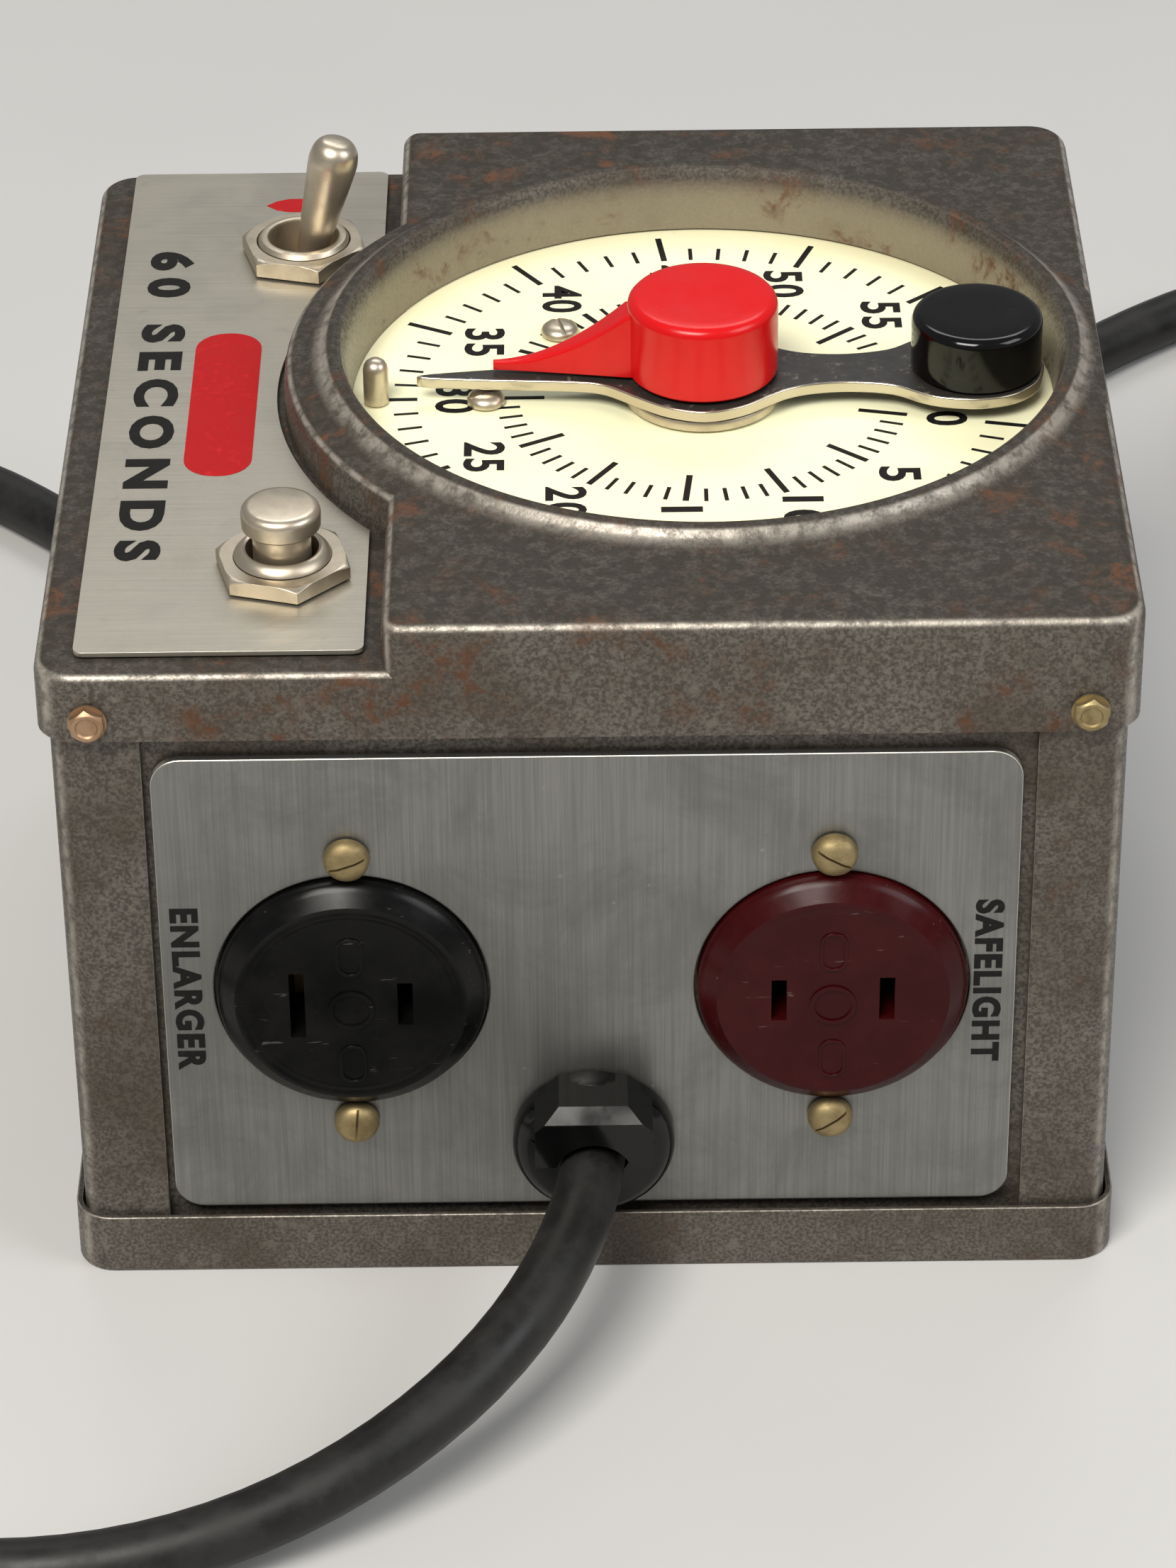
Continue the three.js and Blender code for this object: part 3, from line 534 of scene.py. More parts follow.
def dial_paint():
    """Cream paint, a little stained, and browner towards the wall of the well."""
    s = Shader("dial_cream")
    blotch = s.noise(18, detail=5, rough=0.6)
    stain = s.step(s.noise(4, detail=5, rough=0.75, twist=0.4), 0.64, 0.75)
    rim = s.step(s.from_dial(), 0.039, 0.043)
    base = s.mix(s.step(blotch, 0.3, 0.75), (0.93, 0.92, 0.64), (0.9, 0.88, 0.57))
    base = s.mix(s.sum("MULTIPLY", stain, 0.25), base, (0.5, 0.36, 0.16))
    base = s.mix(s.sum("MULTIPLY", rim, 0.3), base, (0.6, 0.5, 0.28))
    s.bump(s.noise(0.4, detail=3), 0.015, 0.25)
    return s.set(Base_Color=base, Roughness=s.step(blotch, 0.3, 0.7, 0.42, 0.55))


def printed(name, colour):
    """Matt ink, thinner in places."""
    s = Shader(name)
    thin = s.noise(1.2, detail=4, rough=0.7)
    lighter = tuple(min(1.0, c * 1.3 + 0.008) for c in colour)
    base = s.mix(s.step(thin, 0.5, 0.78), colour, lighter)
    rough = s.step(thin, 0.3, 0.7, 0.6, 0.75)
    return s.set(Base_Color=base, Roughness=rough, Specular_IOR_Level=0.2)


def lever_paint():
    """Thin black paint on the faces; the cut rims show warm nickel."""
    s = Shader("lever_black_on_nickel")
    up = s.sum("ABSOLUTE", s.part(s.normal, "Z"))
    worn = s.noise(1.5, detail=5, rough=0.7)
    painted = s.step(s.sum("ADD", up, s.step(worn, 0.4, 0.8, 0.0, -0.04)), 0.93, 0.985)
    base = s.mix(painted, (0.58, 0.52, 0.42), (0.026, 0.0235, 0.021))
    rough = s.node("Mix", {0: painted, 2: 0.22, 3: s.step(worn, 0.3, 0.7, 0.3, 0.44)})
    s.bump(worn, 0.012, 0.2)
    return s.set(Base_Color=base, Metallic=s.step(painted, 0, 1, 0.95, 0.0), Roughness=rough)


def jacket():
    """Rubber of the cord, rubbed grey in streaks."""
    s = Shader("cord_rubber")
    dust = s.noise(9, detail=5, rough=0.7)
    grain = s.noise(0.5, detail=4, rough=0.7)
    base = s.mix(s.step(dust, 0.35, 0.7), (0.007, 0.0067, 0.0064), (0.018, 0.017, 0.016))
    base = s.mix(s.step(grain, 0.58, 0.8, 0.0, 0.3), base, (0.05, 0.047, 0.044))
    s.bump(s.sum("ADD", grain, dust), 0.04, 0.3)
    return s.set(Base_Color=base, Roughness=s.step(dust, 0.3, 0.7, 0.4, 0.58), Specular_IOR_Level=0.35)


def dull(name, colour, other, weave=False):
    """Fibre board, tape or sleeving: two tones in patches under a fine grain."""
    s = Shader(name)
    patch = s.noise(2, detail=5, rough=0.65)
    grain = s.cells(0.45) if weave else s.noise(0.3, detail=3)
    base = s.mix(s.step(patch, 0.3, 0.7), colour, other)
    s.bump(grain, 0.06, 0.5)
    return s.set(Base_Color=base, Roughness=s.step(grain, 0.2, 0.8, 0.6, 0.8))


# Scales that draw a noise out into lines.
LINES_UP = (1.0, 1.0, 0.015)
LINES_ACROSS = (0.015, 1.0, 1.0)
LID_ENAMEL = enamel("enamel_lid", rust=0.75)
CASE_ENAMEL = enamel("enamel_case", rust=0.3, wear=0.8)
OUTLET_SHEET = brushed("outlet_plate_brushed", LINES_UP, (0.31, 0.308, 0.288), (0.15, 0.149, 0.142))
NAME_SHEET = brushed("name_plate_brushed", LINES_ACROSS, (0.58, 0.545, 0.46), (0.36, 0.335, 0.28), 0.34)
NICKEL = plated("nickel", (0.62, 0.545, 0.43), (0.36, 0.3, 0.215), 0.3, 0.5)
ZINC = plated("zinc", (0.62, 0.6, 0.55), (0.34, 0.31, 0.27), 0.32, 0.5)
BRASS = plated("brass", (0.72, 0.52, 0.24), (0.34, 0.22, 0.1), 0.26, 0.5)
DARK_BRASS = plated("dark_brass", (0.2, 0.14, 0.07), (0.06, 0.04, 0.02), 0.5, 0.7)
YELLOW_ZINC = plated("yellow_zinc", (0.37, 0.29, 0.15), (0.2, 0.15, 0.075), 0.48, 0.85)
COPPERY = plated("coppery_screw", (0.44, 0.29, 0.18), (0.28, 0.165, 0.095), 0.44, 0.7)
SPRING = plated("spring_steel", (0.2, 0.2, 0.23), (0.1, 0.07, 0.05), 0.3, 0.5)
BLACK = moulded("bakelite_black", (0.0025, 0.0025, 0.0025), (0.006, 0.0057, 0.0054), 0.2, 0.3, 0.17)
KNOB_BLACK = moulded("knob_black", (0.002, 0.002, 0.002), (0.003, 0.003, 0.003), 0.08, 0.05, 0.34)
MAROON = moulded("bakelite_maroon", (0.03, 0.0016, 0.0022), (0.045, 0.0038, 0.0045), 0.2, 0.3, 0.15)
RED = moulded("plastic_red", (0.6, 0.004, 0.006), (0.55, 0.006, 0.007), 0.2, 0.0, 0.34)
CREAM = dial_paint()
INK = printed("ink_black", (0.006, 0.0056, 0.005))
RED_INK = printed("ink_red", (0.36, 0.005, 0.007))
LEVER = lever_paint()
RUBBER = jacket()
FIBRE = dull("phenolic_fibre", (0.12, 0.062, 0.035), (0.18, 0.1, 0.055))
TAPE = dull("coil_tape", (0.52, 0.36, 0.14), (0.4, 0.26, 0.1), weave=True)
COTTON = dull("cotton_sleeving", (0.24, 0.05, 0.035), (0.16, 0.03, 0.022), weave=True)


# ---- Camera ----
CAMERA_PLACE = Vector((-0.2, -575.0, 415.4))
CAMERA_PITCH = math.radians(33.74)
CAMERA_ROLL = math.radians(-0.66)
CAMERA_LENS = 82.9


def camera():
    data = bpy.data.cameras.new("camera")
    data.sensor_fit = "VERTICAL"
    data.sensor_height = 24
    data.lens = CAMERA_LENS
    data.clip_start = 0.01
    obj = linked("camera", data)
    down = Matrix.Rotation(math.pi / 2 - CAMERA_PITCH, 4, "X")
    obj.matrix_world = Matrix.Translation(CAMERA_PLACE * MM) @ down @ Matrix.Rotation(CAMERA_ROLL, 4, "Z")
    scene.camera = obj


# ---- Cord ----
CORD_R = 3.9
CORD_LAY = 7.9
LAID = 3.95
RING_R = 45.0
RING = Vector((152.0, 118.0))
RING_ENTRY = 70
PLUG = middle("cord_plug")
BLADE_GAP = 12.7
# The cord falls from the outlet plate and then lies on the table, at the height LAID, round the left of the
# case and behind it to the ring. Its y counts from FRONT.
CORD_FALL = [
    (0, -1, 19.2), (-0.3, -8, 18.8), (-2.5, -17.5, 17.5), (-8.2, -30.6, 15), (-19.5, -43.5, 11),
    (-35, -53.4, 7), (-51.4, -59, 4.9),
]
CORD_PAST_THE_LEFT = [
    (-68.5, -60.5), (-86, -57.5), (-103, -50), (-118, -38), (-129.5, -22), (-137, -2), (-141.5, 22),
    (-144, 52), (-145.5, 86), (-146.3, 120), (-145.9, 150), (-141.2, 170), (-128.5, 183.2), (-111, 188),
]
CORD_BEHIND = [
    (-94.5, 183.8), (-84, 175.4), (-75, 166), (-64.5, 157.1), (-51, 150.2), (-34, 147), (-14, 148.8),
    (7, 155.5), (28, 167.5), (46, 183), (62.5, 201), (79, 217.8), (92.5, 229), (106, 236.6),
    (120.5, 239.4), (134.5, 237.4), (148, 232.1),
]


def eased(value, start, end):
    """0 before start, 1 past end."""
    t = min(max((value - start) / (end - start), 0), 1)
    return t * t * (3 - 2 * t)


def coil_points(per_turn=24):
    """Clockwise from the ring's far side: outer turn, inner turn, up a layer, and out again."""
    turns = 3 + RING_ENTRY / 360
    points = []
    for i in range(round(turns * per_turn) + 1):
        u = turns * i / round(turns * per_turn)
        angle = math.radians(RING_ENTRY) - 2 * math.pi * u
        outward = 1 - eased(u, 0.68, 1.0) + eased(u, 2.5, 2.82)
        r = RING_R + CORD_LAY * (outward - 0.5)
        z = LAID + CORD_LAY * eased(u, 1.67, 1.83)
        points.append((RING.x + r * math.cos(angle), RING.y + r * math.sin(angle), z))
    return points


def softened(points, passes=8):
    """The same run with its kinks averaged out; both ends keep their places."""
    for _ in range(passes):
        middles = [(a + 2 * b + c) / 4 for a, b, c in zip(points, points[1:], points[2:])]
        points = [points[0], *middles, points[-1]]
    return points


def power_cord():
    laid = [(x, y, LAID) for x, y in CORD_PAST_THE_LEFT + CORD_BEHIND]
    route = [(x, y + FRONT, z) for x, y, z in CORD_FALL + laid]
    edge = RING.x + RING_R + CORD_LAY / 2
    tail = [(edge, RING.y - 12, 10.9), (edge, RING.y - 22, 8.4), (PLUG.x, RING.y - 29.2, 7.1)]
    coil = coil_points()
    lead_in = softened([Vector(p) for p in smooth_line(route + coil[:3], 4)])
    points = lead_in + smooth_line(coil[3:] + tail, 4)
    curve = bpy.data.curves.new("power_cord_jacket", "CURVE")
    curve.dimensions = "3D"
    curve.bevel_depth = CORD_R * MM
    curve.bevel_resolution = 6
    curve.use_fill_caps = True
    spline = curve.splines.new("POLY")
    spline.points.add(len(points) - 1)
    for point, place in zip(spline.points, points):
        point.co = (*(value * MM for value in place), 1)
    spline.use_smooth = True
    curve.materials.append(RUBBER)
    obj = linked("power_cord_jacket", curve)
    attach(obj, "case")
    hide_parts("power_cord", "cord_coil")
    cord_plug()
    cord_tie()


def cord_plug():
    """A moulded two-blade plug: a ribbed grip that narrows to the cord."""
    sections = [
        (0, 5.0, 5.2), (2, 5.1, 5.4), (8, 6.6, 6.0), (14, 9.6, 6.6), (22, 11.4, 6.9), (28.5, 11.9, 6.9),
        (30, 11.3, 6.3),
    ]
    grip = stack([(rounded_rect(-w, w, -h, h, min(w, h) * 0.62, 6), z) for z, w, h in sections])
    places = ((16.5, 11.2), (19.5, 11.6), (22.5, 11.9))
    ribs = [prism(rounded_rect(-w, w, -7, 7, 2.5, 6), z, z + 1.2) for z, w in places]
    blades = []
    for x in (-BLADE_GAP / 2, BLADE_GAP / 2):
        hole = moved(pin(1.5, -2, 2, 24), x, 0, 42.5, tilt=(90, "X"))
        blades.append(cut(block(x - 3.2, x + 3.2, -0.75, 0.75, 29, 46), hole))
    rear = (PLUG.x, RING.y - 29.4, PLUG.z)
    top = moved(moved(together(grip, *ribs), tilt=(90, "X")), *rear)
    metal = moved(moved(together(*blades), tilt=(90, "X")), *rear)
    blades = piece("cord_plug_blades", metal, "case", "brass", BRASS, bevel=0.15)
    return [piece("cord_plug_grip", top, "case", "black_bakelite", BLACK, "cord_plug", bevel=0.4), blades]


def cord_tie():
    """A wire tie twisted round the coil."""
    half = CORD_LAY + 0.1
    ring = rounded_rect(-half, half, -half, half, 3.8, 8)
    inner = rounded_rect(-half + 0.5, half - 0.5, -half + 0.5, half - 0.5, 3.4, 8)
    band = sheet([ring, inner], -2.0, 2.0, 0.15)
    band = moved(moved(band, tilt=(90, "X")), turn=90)
    band = moved(band, RING.x, RING.y + RING_R, CORD_LAY + 0.05)
    return piece("cord_tie", band, "case", "cord_rubber", RUBBER)


# ---- Housing ----
def collar_profile():
    """The rolled collar, from its outer wall over the shoulder and the crest into the well."""
    rise = [
        (BOSS_R, STRIP_TOP + 2.6), (BOSS_R - 0.25, PLATEAU_TOP - 1.3), (BOSS_R - 1.0, PLATEAU_TOP - 0.35),
        (BOSS_R - 2.1, PLATEAU_TOP - 0.02), (BOSS_R - 3.2, PLATEAU_TOP + 0.35), (BOSS_R - 4.4, CREST - 1.1),
        (WELL_R + 2.9, CREST - 0.25), (WELL_R + 2.0, CREST), (WELL_R + 1.2, CREST - 0.35),
    ]
    return smooth_line(rise, 5)


def drawn_lid():
    """One drawn steel shell: strip, plateau, collar and well, with its hollow and holes."""
    x0, x1, y0, y1 = LID_LOW.x, LID_HIGH.x, LID_LOW.y, LID_HIGH.y
    bottom = LID_LOW.z
    centre = (DIAL.x, DIAL.y)
    low = soft_slab(x0, x1, y0, y1, LID_CORNER, bottom, STRIP_TOP, 1.7)
    outline = [2.2, LID_CORNER, LID_CORNER, 2.2]
    high = soft_slab(PLATEAU_LEFT, x1, y0, y1, outline, bottom, PLATEAU_TOP, 1.9)
    shoulder = [(0, bottom + 3), (BOSS_R, bottom + 3), *collar_profile(), (0, CREST - 0.35)]
    inside_sides = prism(rounded_rect(x0 + 0.2, x1 - 0.45, y0, y1, LID_CORNER), UNDER, OVER)
    collar = boolean("INTERSECT", lathe(shoulder, 192, centre), inside_sides)
    solid = union(low, high, collar)
    inner = (x0 + SHEET, x1 - SHEET, y0 + SHEET, y1 - SHEET)
    corner = LID_CORNER - SHEET
    low_hollow = prism(rounded_rect(*inner, corner), UNDER, STRIP_TOP - SHEET)
    high_outline = rounded_rect(PLATEAU_LEFT + SHEET, *inner[1:], [1, corner, corner, 1])
    high_hollow = prism(high_outline, UNDER, PLATEAU_TOP - SHEET - 0.1)
    foot = DIAL_TOP + 0.3
    wall = lathe([(0, foot), (WELL_R + 1.2, foot), (WELL_R + 1.7, 99), (0, 99)], 192, centre)
    well = [(WELL_R, foot), (WELL_R + 0.2, 89.5), (WELL_R + 0.55, 92.3), (WELL_R + 1.2, CREST - 0.35)]
    mouth = [(WELL_R + 1.2, CREST + 2), (0, CREST + 2)]
    opening = lathe([(0, UNDER), (WELL_R, UNDER), *smooth_line(well, 4), *mouth], 192, centre)
    holes = [pin(SWITCH_HOLE_R, 80, 90, 32, (p.x, p.y)) for p in (TOGGLE, BUTTON)]
    for node in LID_SCREWS:
        place = middle(node)
        side = y0 if place.y < 0 else y1
        holes.append(moved(pin(1.9, -4, 4, 24), place.x, side, place.z, tilt=(90, "X")))
    shell = cut(solid, low_hollow, cut(high_hollow, wall), opening, *holes)
    piece("lid_skin", welded(shell), "case", "enamel", LID_ENAMEL, "lid", crease=30)


def shrunk(low, high, by, radius):
    """The outline of a box seen from above, moved in on all sides."""
    return rounded_rect(low.x + by, high.x - by, low.y + by, high.y - by, radius)


def case_walls():
    """The open-fronted case and the pan that it stands in."""
    low, high = CASE_LOW, CASE_HIGH
    thick = 1.2
    outer = prism(shrunk(low, high, 0, 3.5), low.z, high.z)
    inner = prism(shrunk(low, high, thick, 2.3), 0, 99)
    mouth = block(low.x + 10.5, high.x - 10.5, low.y - 2, low.y + thick + 1.5, 0, 99)
    piece("case_walls", cut(outer, inner, mouth), "case", "enamel", CASE_ENAMEL, "case_shell", bevel=0.25)
    low, high = PAN_LOW, PAN_HIGH
    bowl = prism(shrunk(low, high, 0, 4.6), 0, high.z)
    inside = prism(shrunk(low, high, 0.8, 3.8), 1.2, 99)
    piece("base_pan_skin", cut(bowl, inside), "case", "enamel", CASE_ENAMEL, "base_pan", bevel=0.35)


def outlet_places():
    return [middle(node) for node in ("outlet_left", "outlet_right")]


def screw_places():
    names = [f"outlet_{side}_screw_{end}" for side in ("left", "right") for end in ("top", "bottom")]
    return names, [middle(name) for name in names]


def outlet_plate():
    low, high = PLATE_LOW, PLATE_HIGH
    outside = rounded_rect(low.x, high.x, low.z, high.z, 3.6)
    holes = [circle(16.25, (p.x, p.z), 96) for p in outlet_places()]
    holes += [circle(1.8, (p.x, p.z), 24) for p in screw_places()[1]]
    relief = middle("strain_relief")
    holes.append(circle(6.6, (relief.x, relief.z), 48))
    plate = moved(sheet([outside, *holes], 0, high.y - low.y, 0.22), tilt=(90, "X"), y=high.y)
    piece("outlet_plate_sheet", plate, "case", "brushed_plate", OUTLET_SHEET, "outlet_plate")
    for word, x in (("ENLARGER", -47.6), ("SAFELIGHT", 46.6)):
        label = lettering(word, 3.0, 23.4, bold=0.2, spacing=1.18)
        reading_down = Matrix(((0, 1, 0, 0), (0, 0, -1, 0), (-1, 0, 0, 0), (0, 0, 0, 1)))
        label.transform(reading_down)
        shifted = moved(label, x, low.y - 0.02, 41.2)
        piece(f"label_{word.lower()}", shifted, "case", "brushed_plate", INK)


def name_plate():
    low, high = NAME_LOW, NAME_HIGH
    outside = prism(rounded_rect(low.x, high.x, low.y, high.y, 1.2), low.z, high.z)
    bite = pin(BOSS_R + 0.9, 80, 90, 192, (DIAL.x, DIAL.y))
    holes = [pin(SWITCH_HOLE_R, 80, 90, 48, (p.x, p.y)) for p in (TOGGLE, BUTTON)]
    piece(
        "name_plate_sheet", cut(outside, bite, *holes), "case", "brushed_plate", NAME_SHEET, "name_plate",
        bevel=0.16,
    )
    word = lettering("60 SECONDS", 4.8, 76, bold=0.34, spacing=1.5)
    word = moved(word, -52.5, FRONT + 60, high.z + 0.02, turn=-90)
    piece("name_plate_lettering", word, "case", "brushed_plate", INK)
    bar = sheet([rounded_rect(-4.1, 4.1, -17.5, 17.5, 3.9)], 0, 0.05, 0.01)
    piece("name_plate_bar", moved(bar, -44.2, FRONT + 58.8, high.z), "case", "brushed_plate", RED_INK)
    leaf = [(-1.9, 0), (-0.6, -1.2), (1.0, -1.8), (3.0, -1.8), (3.0, 1.8), (1.0, 1.8), (-0.6, 1.2)]
    mark = moved(sheet([leaf], 0, 0.05, 0.01), -39.2, FRONT + 110.4, high.z)
    piece("toggle_mark", mark, "case", "brushed_plate", RED_INK)


# ---- Fixings ----
def screw_mesh(head_r, head_h, shank_r, length, slot):
    """A domed head with a slot of that width, standing on its seat at z 0."""
    shares = ((1, 0.25), (0.94, 0.55), (0.76, 0.84), (0.4, 1))
    dome = [(head_r * across, head_h * up) for across, up in shares]
    body = lathe([(0, -length), (shank_r, -length), (shank_r, 0), (head_r, 0), *dome, (0, head_h)], 32)
    groove = block(-head_r - 1, head_r + 1, -slot / 2, slot / 2, head_h * 0.62, head_h + 1)
    return cut(body, groove)


def hex_screw_mesh(head_r, head_h, shank_r, length):
    """A hexagon head with a turned, dished top."""
    hexagon = prism(circle(head_r, steps=6), 0, head_h)
    turned = lathe([
        (0, -0.5), (head_r + 0.1, -0.5), (head_r + 0.1, head_h * 0.62), (head_r * 0.78, head_h),
        (head_r * 0.6, head_h), (head_r * 0.52, head_h - 0.22), (0, head_h - 0.26),
    ], 48)
    flange = pin(head_r * 1.02, 0, 0.3)
    shank = pin(shank_r, -length, 0.1, 32)
    return union(boolean("INTERSECT", hexagon, turned), flange, shank)


def screws():
    for i, name in enumerate(LID_SCREWS):
        low, high = corners(name)
        place = middle(name)
        head = 1.6
        mesh = moved(hex_screw_mesh(2.2, 1.55, 1.5, high.y - low.y - head), turn=35 + 50 * i)
        if place.y < 0:
            mesh = moved(mesh, place.x, low.y + head, place.z, tilt=(90, "X"))
        else:
            mesh = moved(mesh, place.x, high.y - head, place.z, tilt=(-90, "X"))
        coppery = name == "lid_screw_front_left"
        slot, material = ("coppery_screw", COPPERY) if coppery else ("yellow_zinc", YELLOW_ZINC)
        piece(f"{name}_head", mesh, "case", slot, material, name)
    for i, (name, place) in enumerate(zip(*screw_places())):
        screw = screw_mesh(2.7, 2.0, 1.4, 5.5, 0.3)
        mesh = facing_front(screw, place.x, FRONT - 0.3, place.z, spin=20 + 65 * i)
        piece(f"{name}_head", mesh, "case", "yellow_zinc", YELLOW_ZINC, name)
    for i, name in enumerate(("dial_screw_a", "dial_screw_b")):
        place = middle(name)
        screw = screw_mesh(2.35, 1.3, 1.1, 3, 0.5)
        mesh = moved(screw, place.x, place.y, DIAL_TOP + 0.3, turn=25 + 80 * i)
        piece(f"{name}_head", mesh, "case", "nickel", NICKEL, name)


def outlets():
    """Two round outlet faces on their bodies; the left one has a longer neutral slot."""
    for node, slot, material, tall in (
        ("outlet_left", "black_bakelite", BLACK, 4.9), ("outlet_right", "maroon_bakelite", MAROON, 3.2),
    ):
        face = [
            (0, 2.75), (11.9, 2.75), (12.5, 2.85), (13.1, 3.0), (13.7, 2.9), (15.1, 1.7), (15.7, 1.15),
            (15.95, 0.5), (15.95, -1.1), (14.6, -1.1), (14.6, -24), (0, -24),
        ]
        strap = block(-5, 5, -23, 23, -4.9, -2.9)
        bores = [pin(1.7, -9, 0, 24, (0, y)) for y in (-19, 19)]
        slots = [block(-7.25, -5.45, -tall, tall - 0.6, -7, 9), block(5.45, 7.25, -3.2, 2.8, -7, 9)]
        body = cut(union(lathe(face, 128), strap), *slots, *bores)
        button_ring = lathe([(2.2, 2.6), (2.2, 3.0), (2.75, 3.0), (2.75, 2.6), (2.2, 2.6)], 48)
        details = [moved(button_ring, 0, -1)]
        for y in (6.6, -8.8):
            rim = [rounded_rect(-1.6, 1.6, -2.7, 2.7, 1.5), rounded_rect(-1.25, 1.25, -2.35, 2.35, 1.2)]
            details.append(moved(sheet(rim, 2.6, 2.95, 0.05), 0, y))
        place = (middle(node).x, FRONT, middle(node).z)
        mesh = facing_front(together(body, *details), *place)
        piece(f"{node}_face", mesh, "case", slot, material, node, crease=30)
        half = BLADE_GAP / 2
        contacts = [block(x - 0.8, x + 0.8, -tall + 0.4, 2.4, -6.6, -5.8) for x in (-half, half)]
        piece(f"{node}_contacts", facing_front(together(*contacts), *place), "case", "brass", DARK_BRASS)


def strain_relief():
    """A disc on the plate and a square nose with its upper corners cut off, round the cord."""
    disc = lathe([
        (0, 3.6), (7.9, 3.6), (8.7, 3.3), (9.4, 2.6), (9.7, 1.8), (9.7, 0.3), (6.2, 0.3), (6.2, -9), (0, -9),
    ], 96)
    nose = [(-7, 1.4), (7, 1.4), (7, 6.6), (4.1, 9.3), (-4.1, 9.3), (-7, 6.6)]
    brow = moved(block(-9, 9, -5, 5, 0, 5), 0, 8.5, 7.6, tilt=(-45, "X"))
    clamp = cut(prism(nose, 0.5, 8.4), brow)
    bore = lathe([(0, -12), (4.4, -12), (4.4, 5.6), (5.0, 12), (0, 12)], 48)
    mesh = facing_front(cut(union(disc, clamp), bore), 0, FRONT, middle("strain_relief").z)
    piece(
        "strain_relief_clamp", mesh, "case", "black_bakelite", KNOB_BLACK, "strain_relief",
        bevel=0.7, segments=3,
    )


# ---- Dial: angles are in degrees, counter-clockwise from the right ----
ZERO_ANGLE = -12.15
UNIT = 5.582
UNITS = 60
LEVER_ANGLE = 1.0
HAND_ANGLE = 179.4
HAND_KNOB_R = 9.2


def on_dial(mesh, degrees):
    return moved(mesh, DIAL.x, DIAL.y, turn=degrees)


def mark_angle(value):
    return ZERO_ANGLE - UNIT * value


def dial_face():
    """The dial, its two rings of marks, and a number at every fifth mark."""
    under = DIAL_LOW.z
    profile = [(4.5, under), (44.6, under), (44.6, DIAL_TOP), (4.5, DIAL_TOP), (4.5, under)]
    piece("dial_disc", lathe(profile, 192, (DIAL.x, DIAL.y)), "case", "dial_paint", CREAM, "dial")
    ticks = []
    for value in range(UNITS + 1):
        major = value % 5 == 0
        wide = 0.38 if major else 0.25
        for start, end in ((19.4 if major else 22.5, 25.4), (35.0, 41.1 if major else 38.0)):
            tick = block(start, end, -wide, wide, DIAL_TOP, DIAL_TOP + 0.04)
            ticks.append(on_dial(tick, mark_angle(value)))
    for value in range(0, UNITS, 5):
        a = math.radians(mark_angle(value))
        digits = lettering(str(value), 4.7, 3.4 if value < 10 else 7.0, bold=0.16, spacing=1.1)
        x = DIAL.x + 30.3 * math.cos(a)
        y = DIAL.y + 30.3 * math.sin(a)
        ticks.append(moved(digits, x, y, DIAL_TOP + 0.02, turn=-90))
    piece("dial_marks", together(*ticks), "case", "dial_paint", INK)


def post_and_bushing():
    place = middle("stop_post")
    foot = DIAL_TOP + 0.3
    low, high = corners("stop_post")
    post = lathe([
        (0, low.z), (2, low.z), (2, low.z + 0.9), (1, low.z + 0.9), (1, foot), (1.55, foot),
        (1.55, high.z - 1.5), (1.45, high.z - 0.95), (1.2, high.z - 0.5), (0.75, high.z - 0.15), (0, high.z),
    ], 48, (place.x, place.y))
    piece("stop_post_pin", post, "case", "nickel", NICKEL, "stop_post")
    low, high = corners("dial_bushing")
    under = DIAL_LOW.z - 0.3
    bushing = lathe([
        (3.4, low.z), (4.2, low.z), (4.2, 77.9), (5, 77.9), (5, under), (4.2, under), (4.2, foot),
        (9.5, foot), (9.7, foot + 0.2), (9.7, high.z - 0.5), (9.5, high.z - 0.12), (9.1, high.z),
        (3.4, high.z), (3.4, low.z),
    ], 96, (DIAL.x, DIAL.y))
    piece("dial_bushing_flange", bushing, "case", "nickel", NICKEL, "dial_bushing")


def setting_lever():
    """A flat arm, pointed on the left and widening to a pad under its knob, on a neck round the arbor."""
    low, _ = corners("setting_lever")
    bottom, top = DIAL_TOP + 2, DIAL_TOP + 3.5
    side = [
        (-35.0, 0.0), (-33.5, 0.55), (-26, 1.35), (-16, 2.2), (-12.5, 3.0), (-10.2, 4.6), (-8, 6.5),
        (-4.5, 9.0), (0, 10.3), (4.5, 9.0), (8, 6.5), (10.4, 4.9), (13.5, 3.9), (18, 3.6), (23, 4.5),
        (26.2, 6.6), (29, 7.9), (33.5, 8.45), (37.8, 7.3), (40.8, 4.3), (41.9, 0.0),
    ]
    upper = smooth_line(side, 4)
    outline = upper + [(x, -y) for x, y in reversed(upper[1:-1])]
    arm = sheet([outline[::-1], circle(2.4, steps=48)], bottom, top, 0.22)
    neck = lathe([(2.4, low.z), (3.3, low.z), (3.3, bottom + 0.2), (2.4, bottom + 0.2), (2.4, low.z)], 48)
    mesh = on_dial(together(arm, neck), LEVER_ANGLE)
    piece("setting_lever_arm", mesh, "setting_lever", "lever_paint", LEVER, "setting_lever")
    base = top + 0.3
    t = corners("lever_knob")[1].z
    knob = lathe([
        (0, base), (7.8, base), (8.0, base + 0.3), (8.0, t - 1.2), (7.85, t - 0.65), (7.45, t - 0.22),
        (6.8, t - 0.03), (4, t - 0.02), (0, t),
    ], 96, (33.5, 0))
    knob = on_dial(knob, LEVER_ANGLE)
    piece("lever_knob_cap", knob, "setting_lever", "black_bakelite", KNOB_BLACK, "lever_knob")


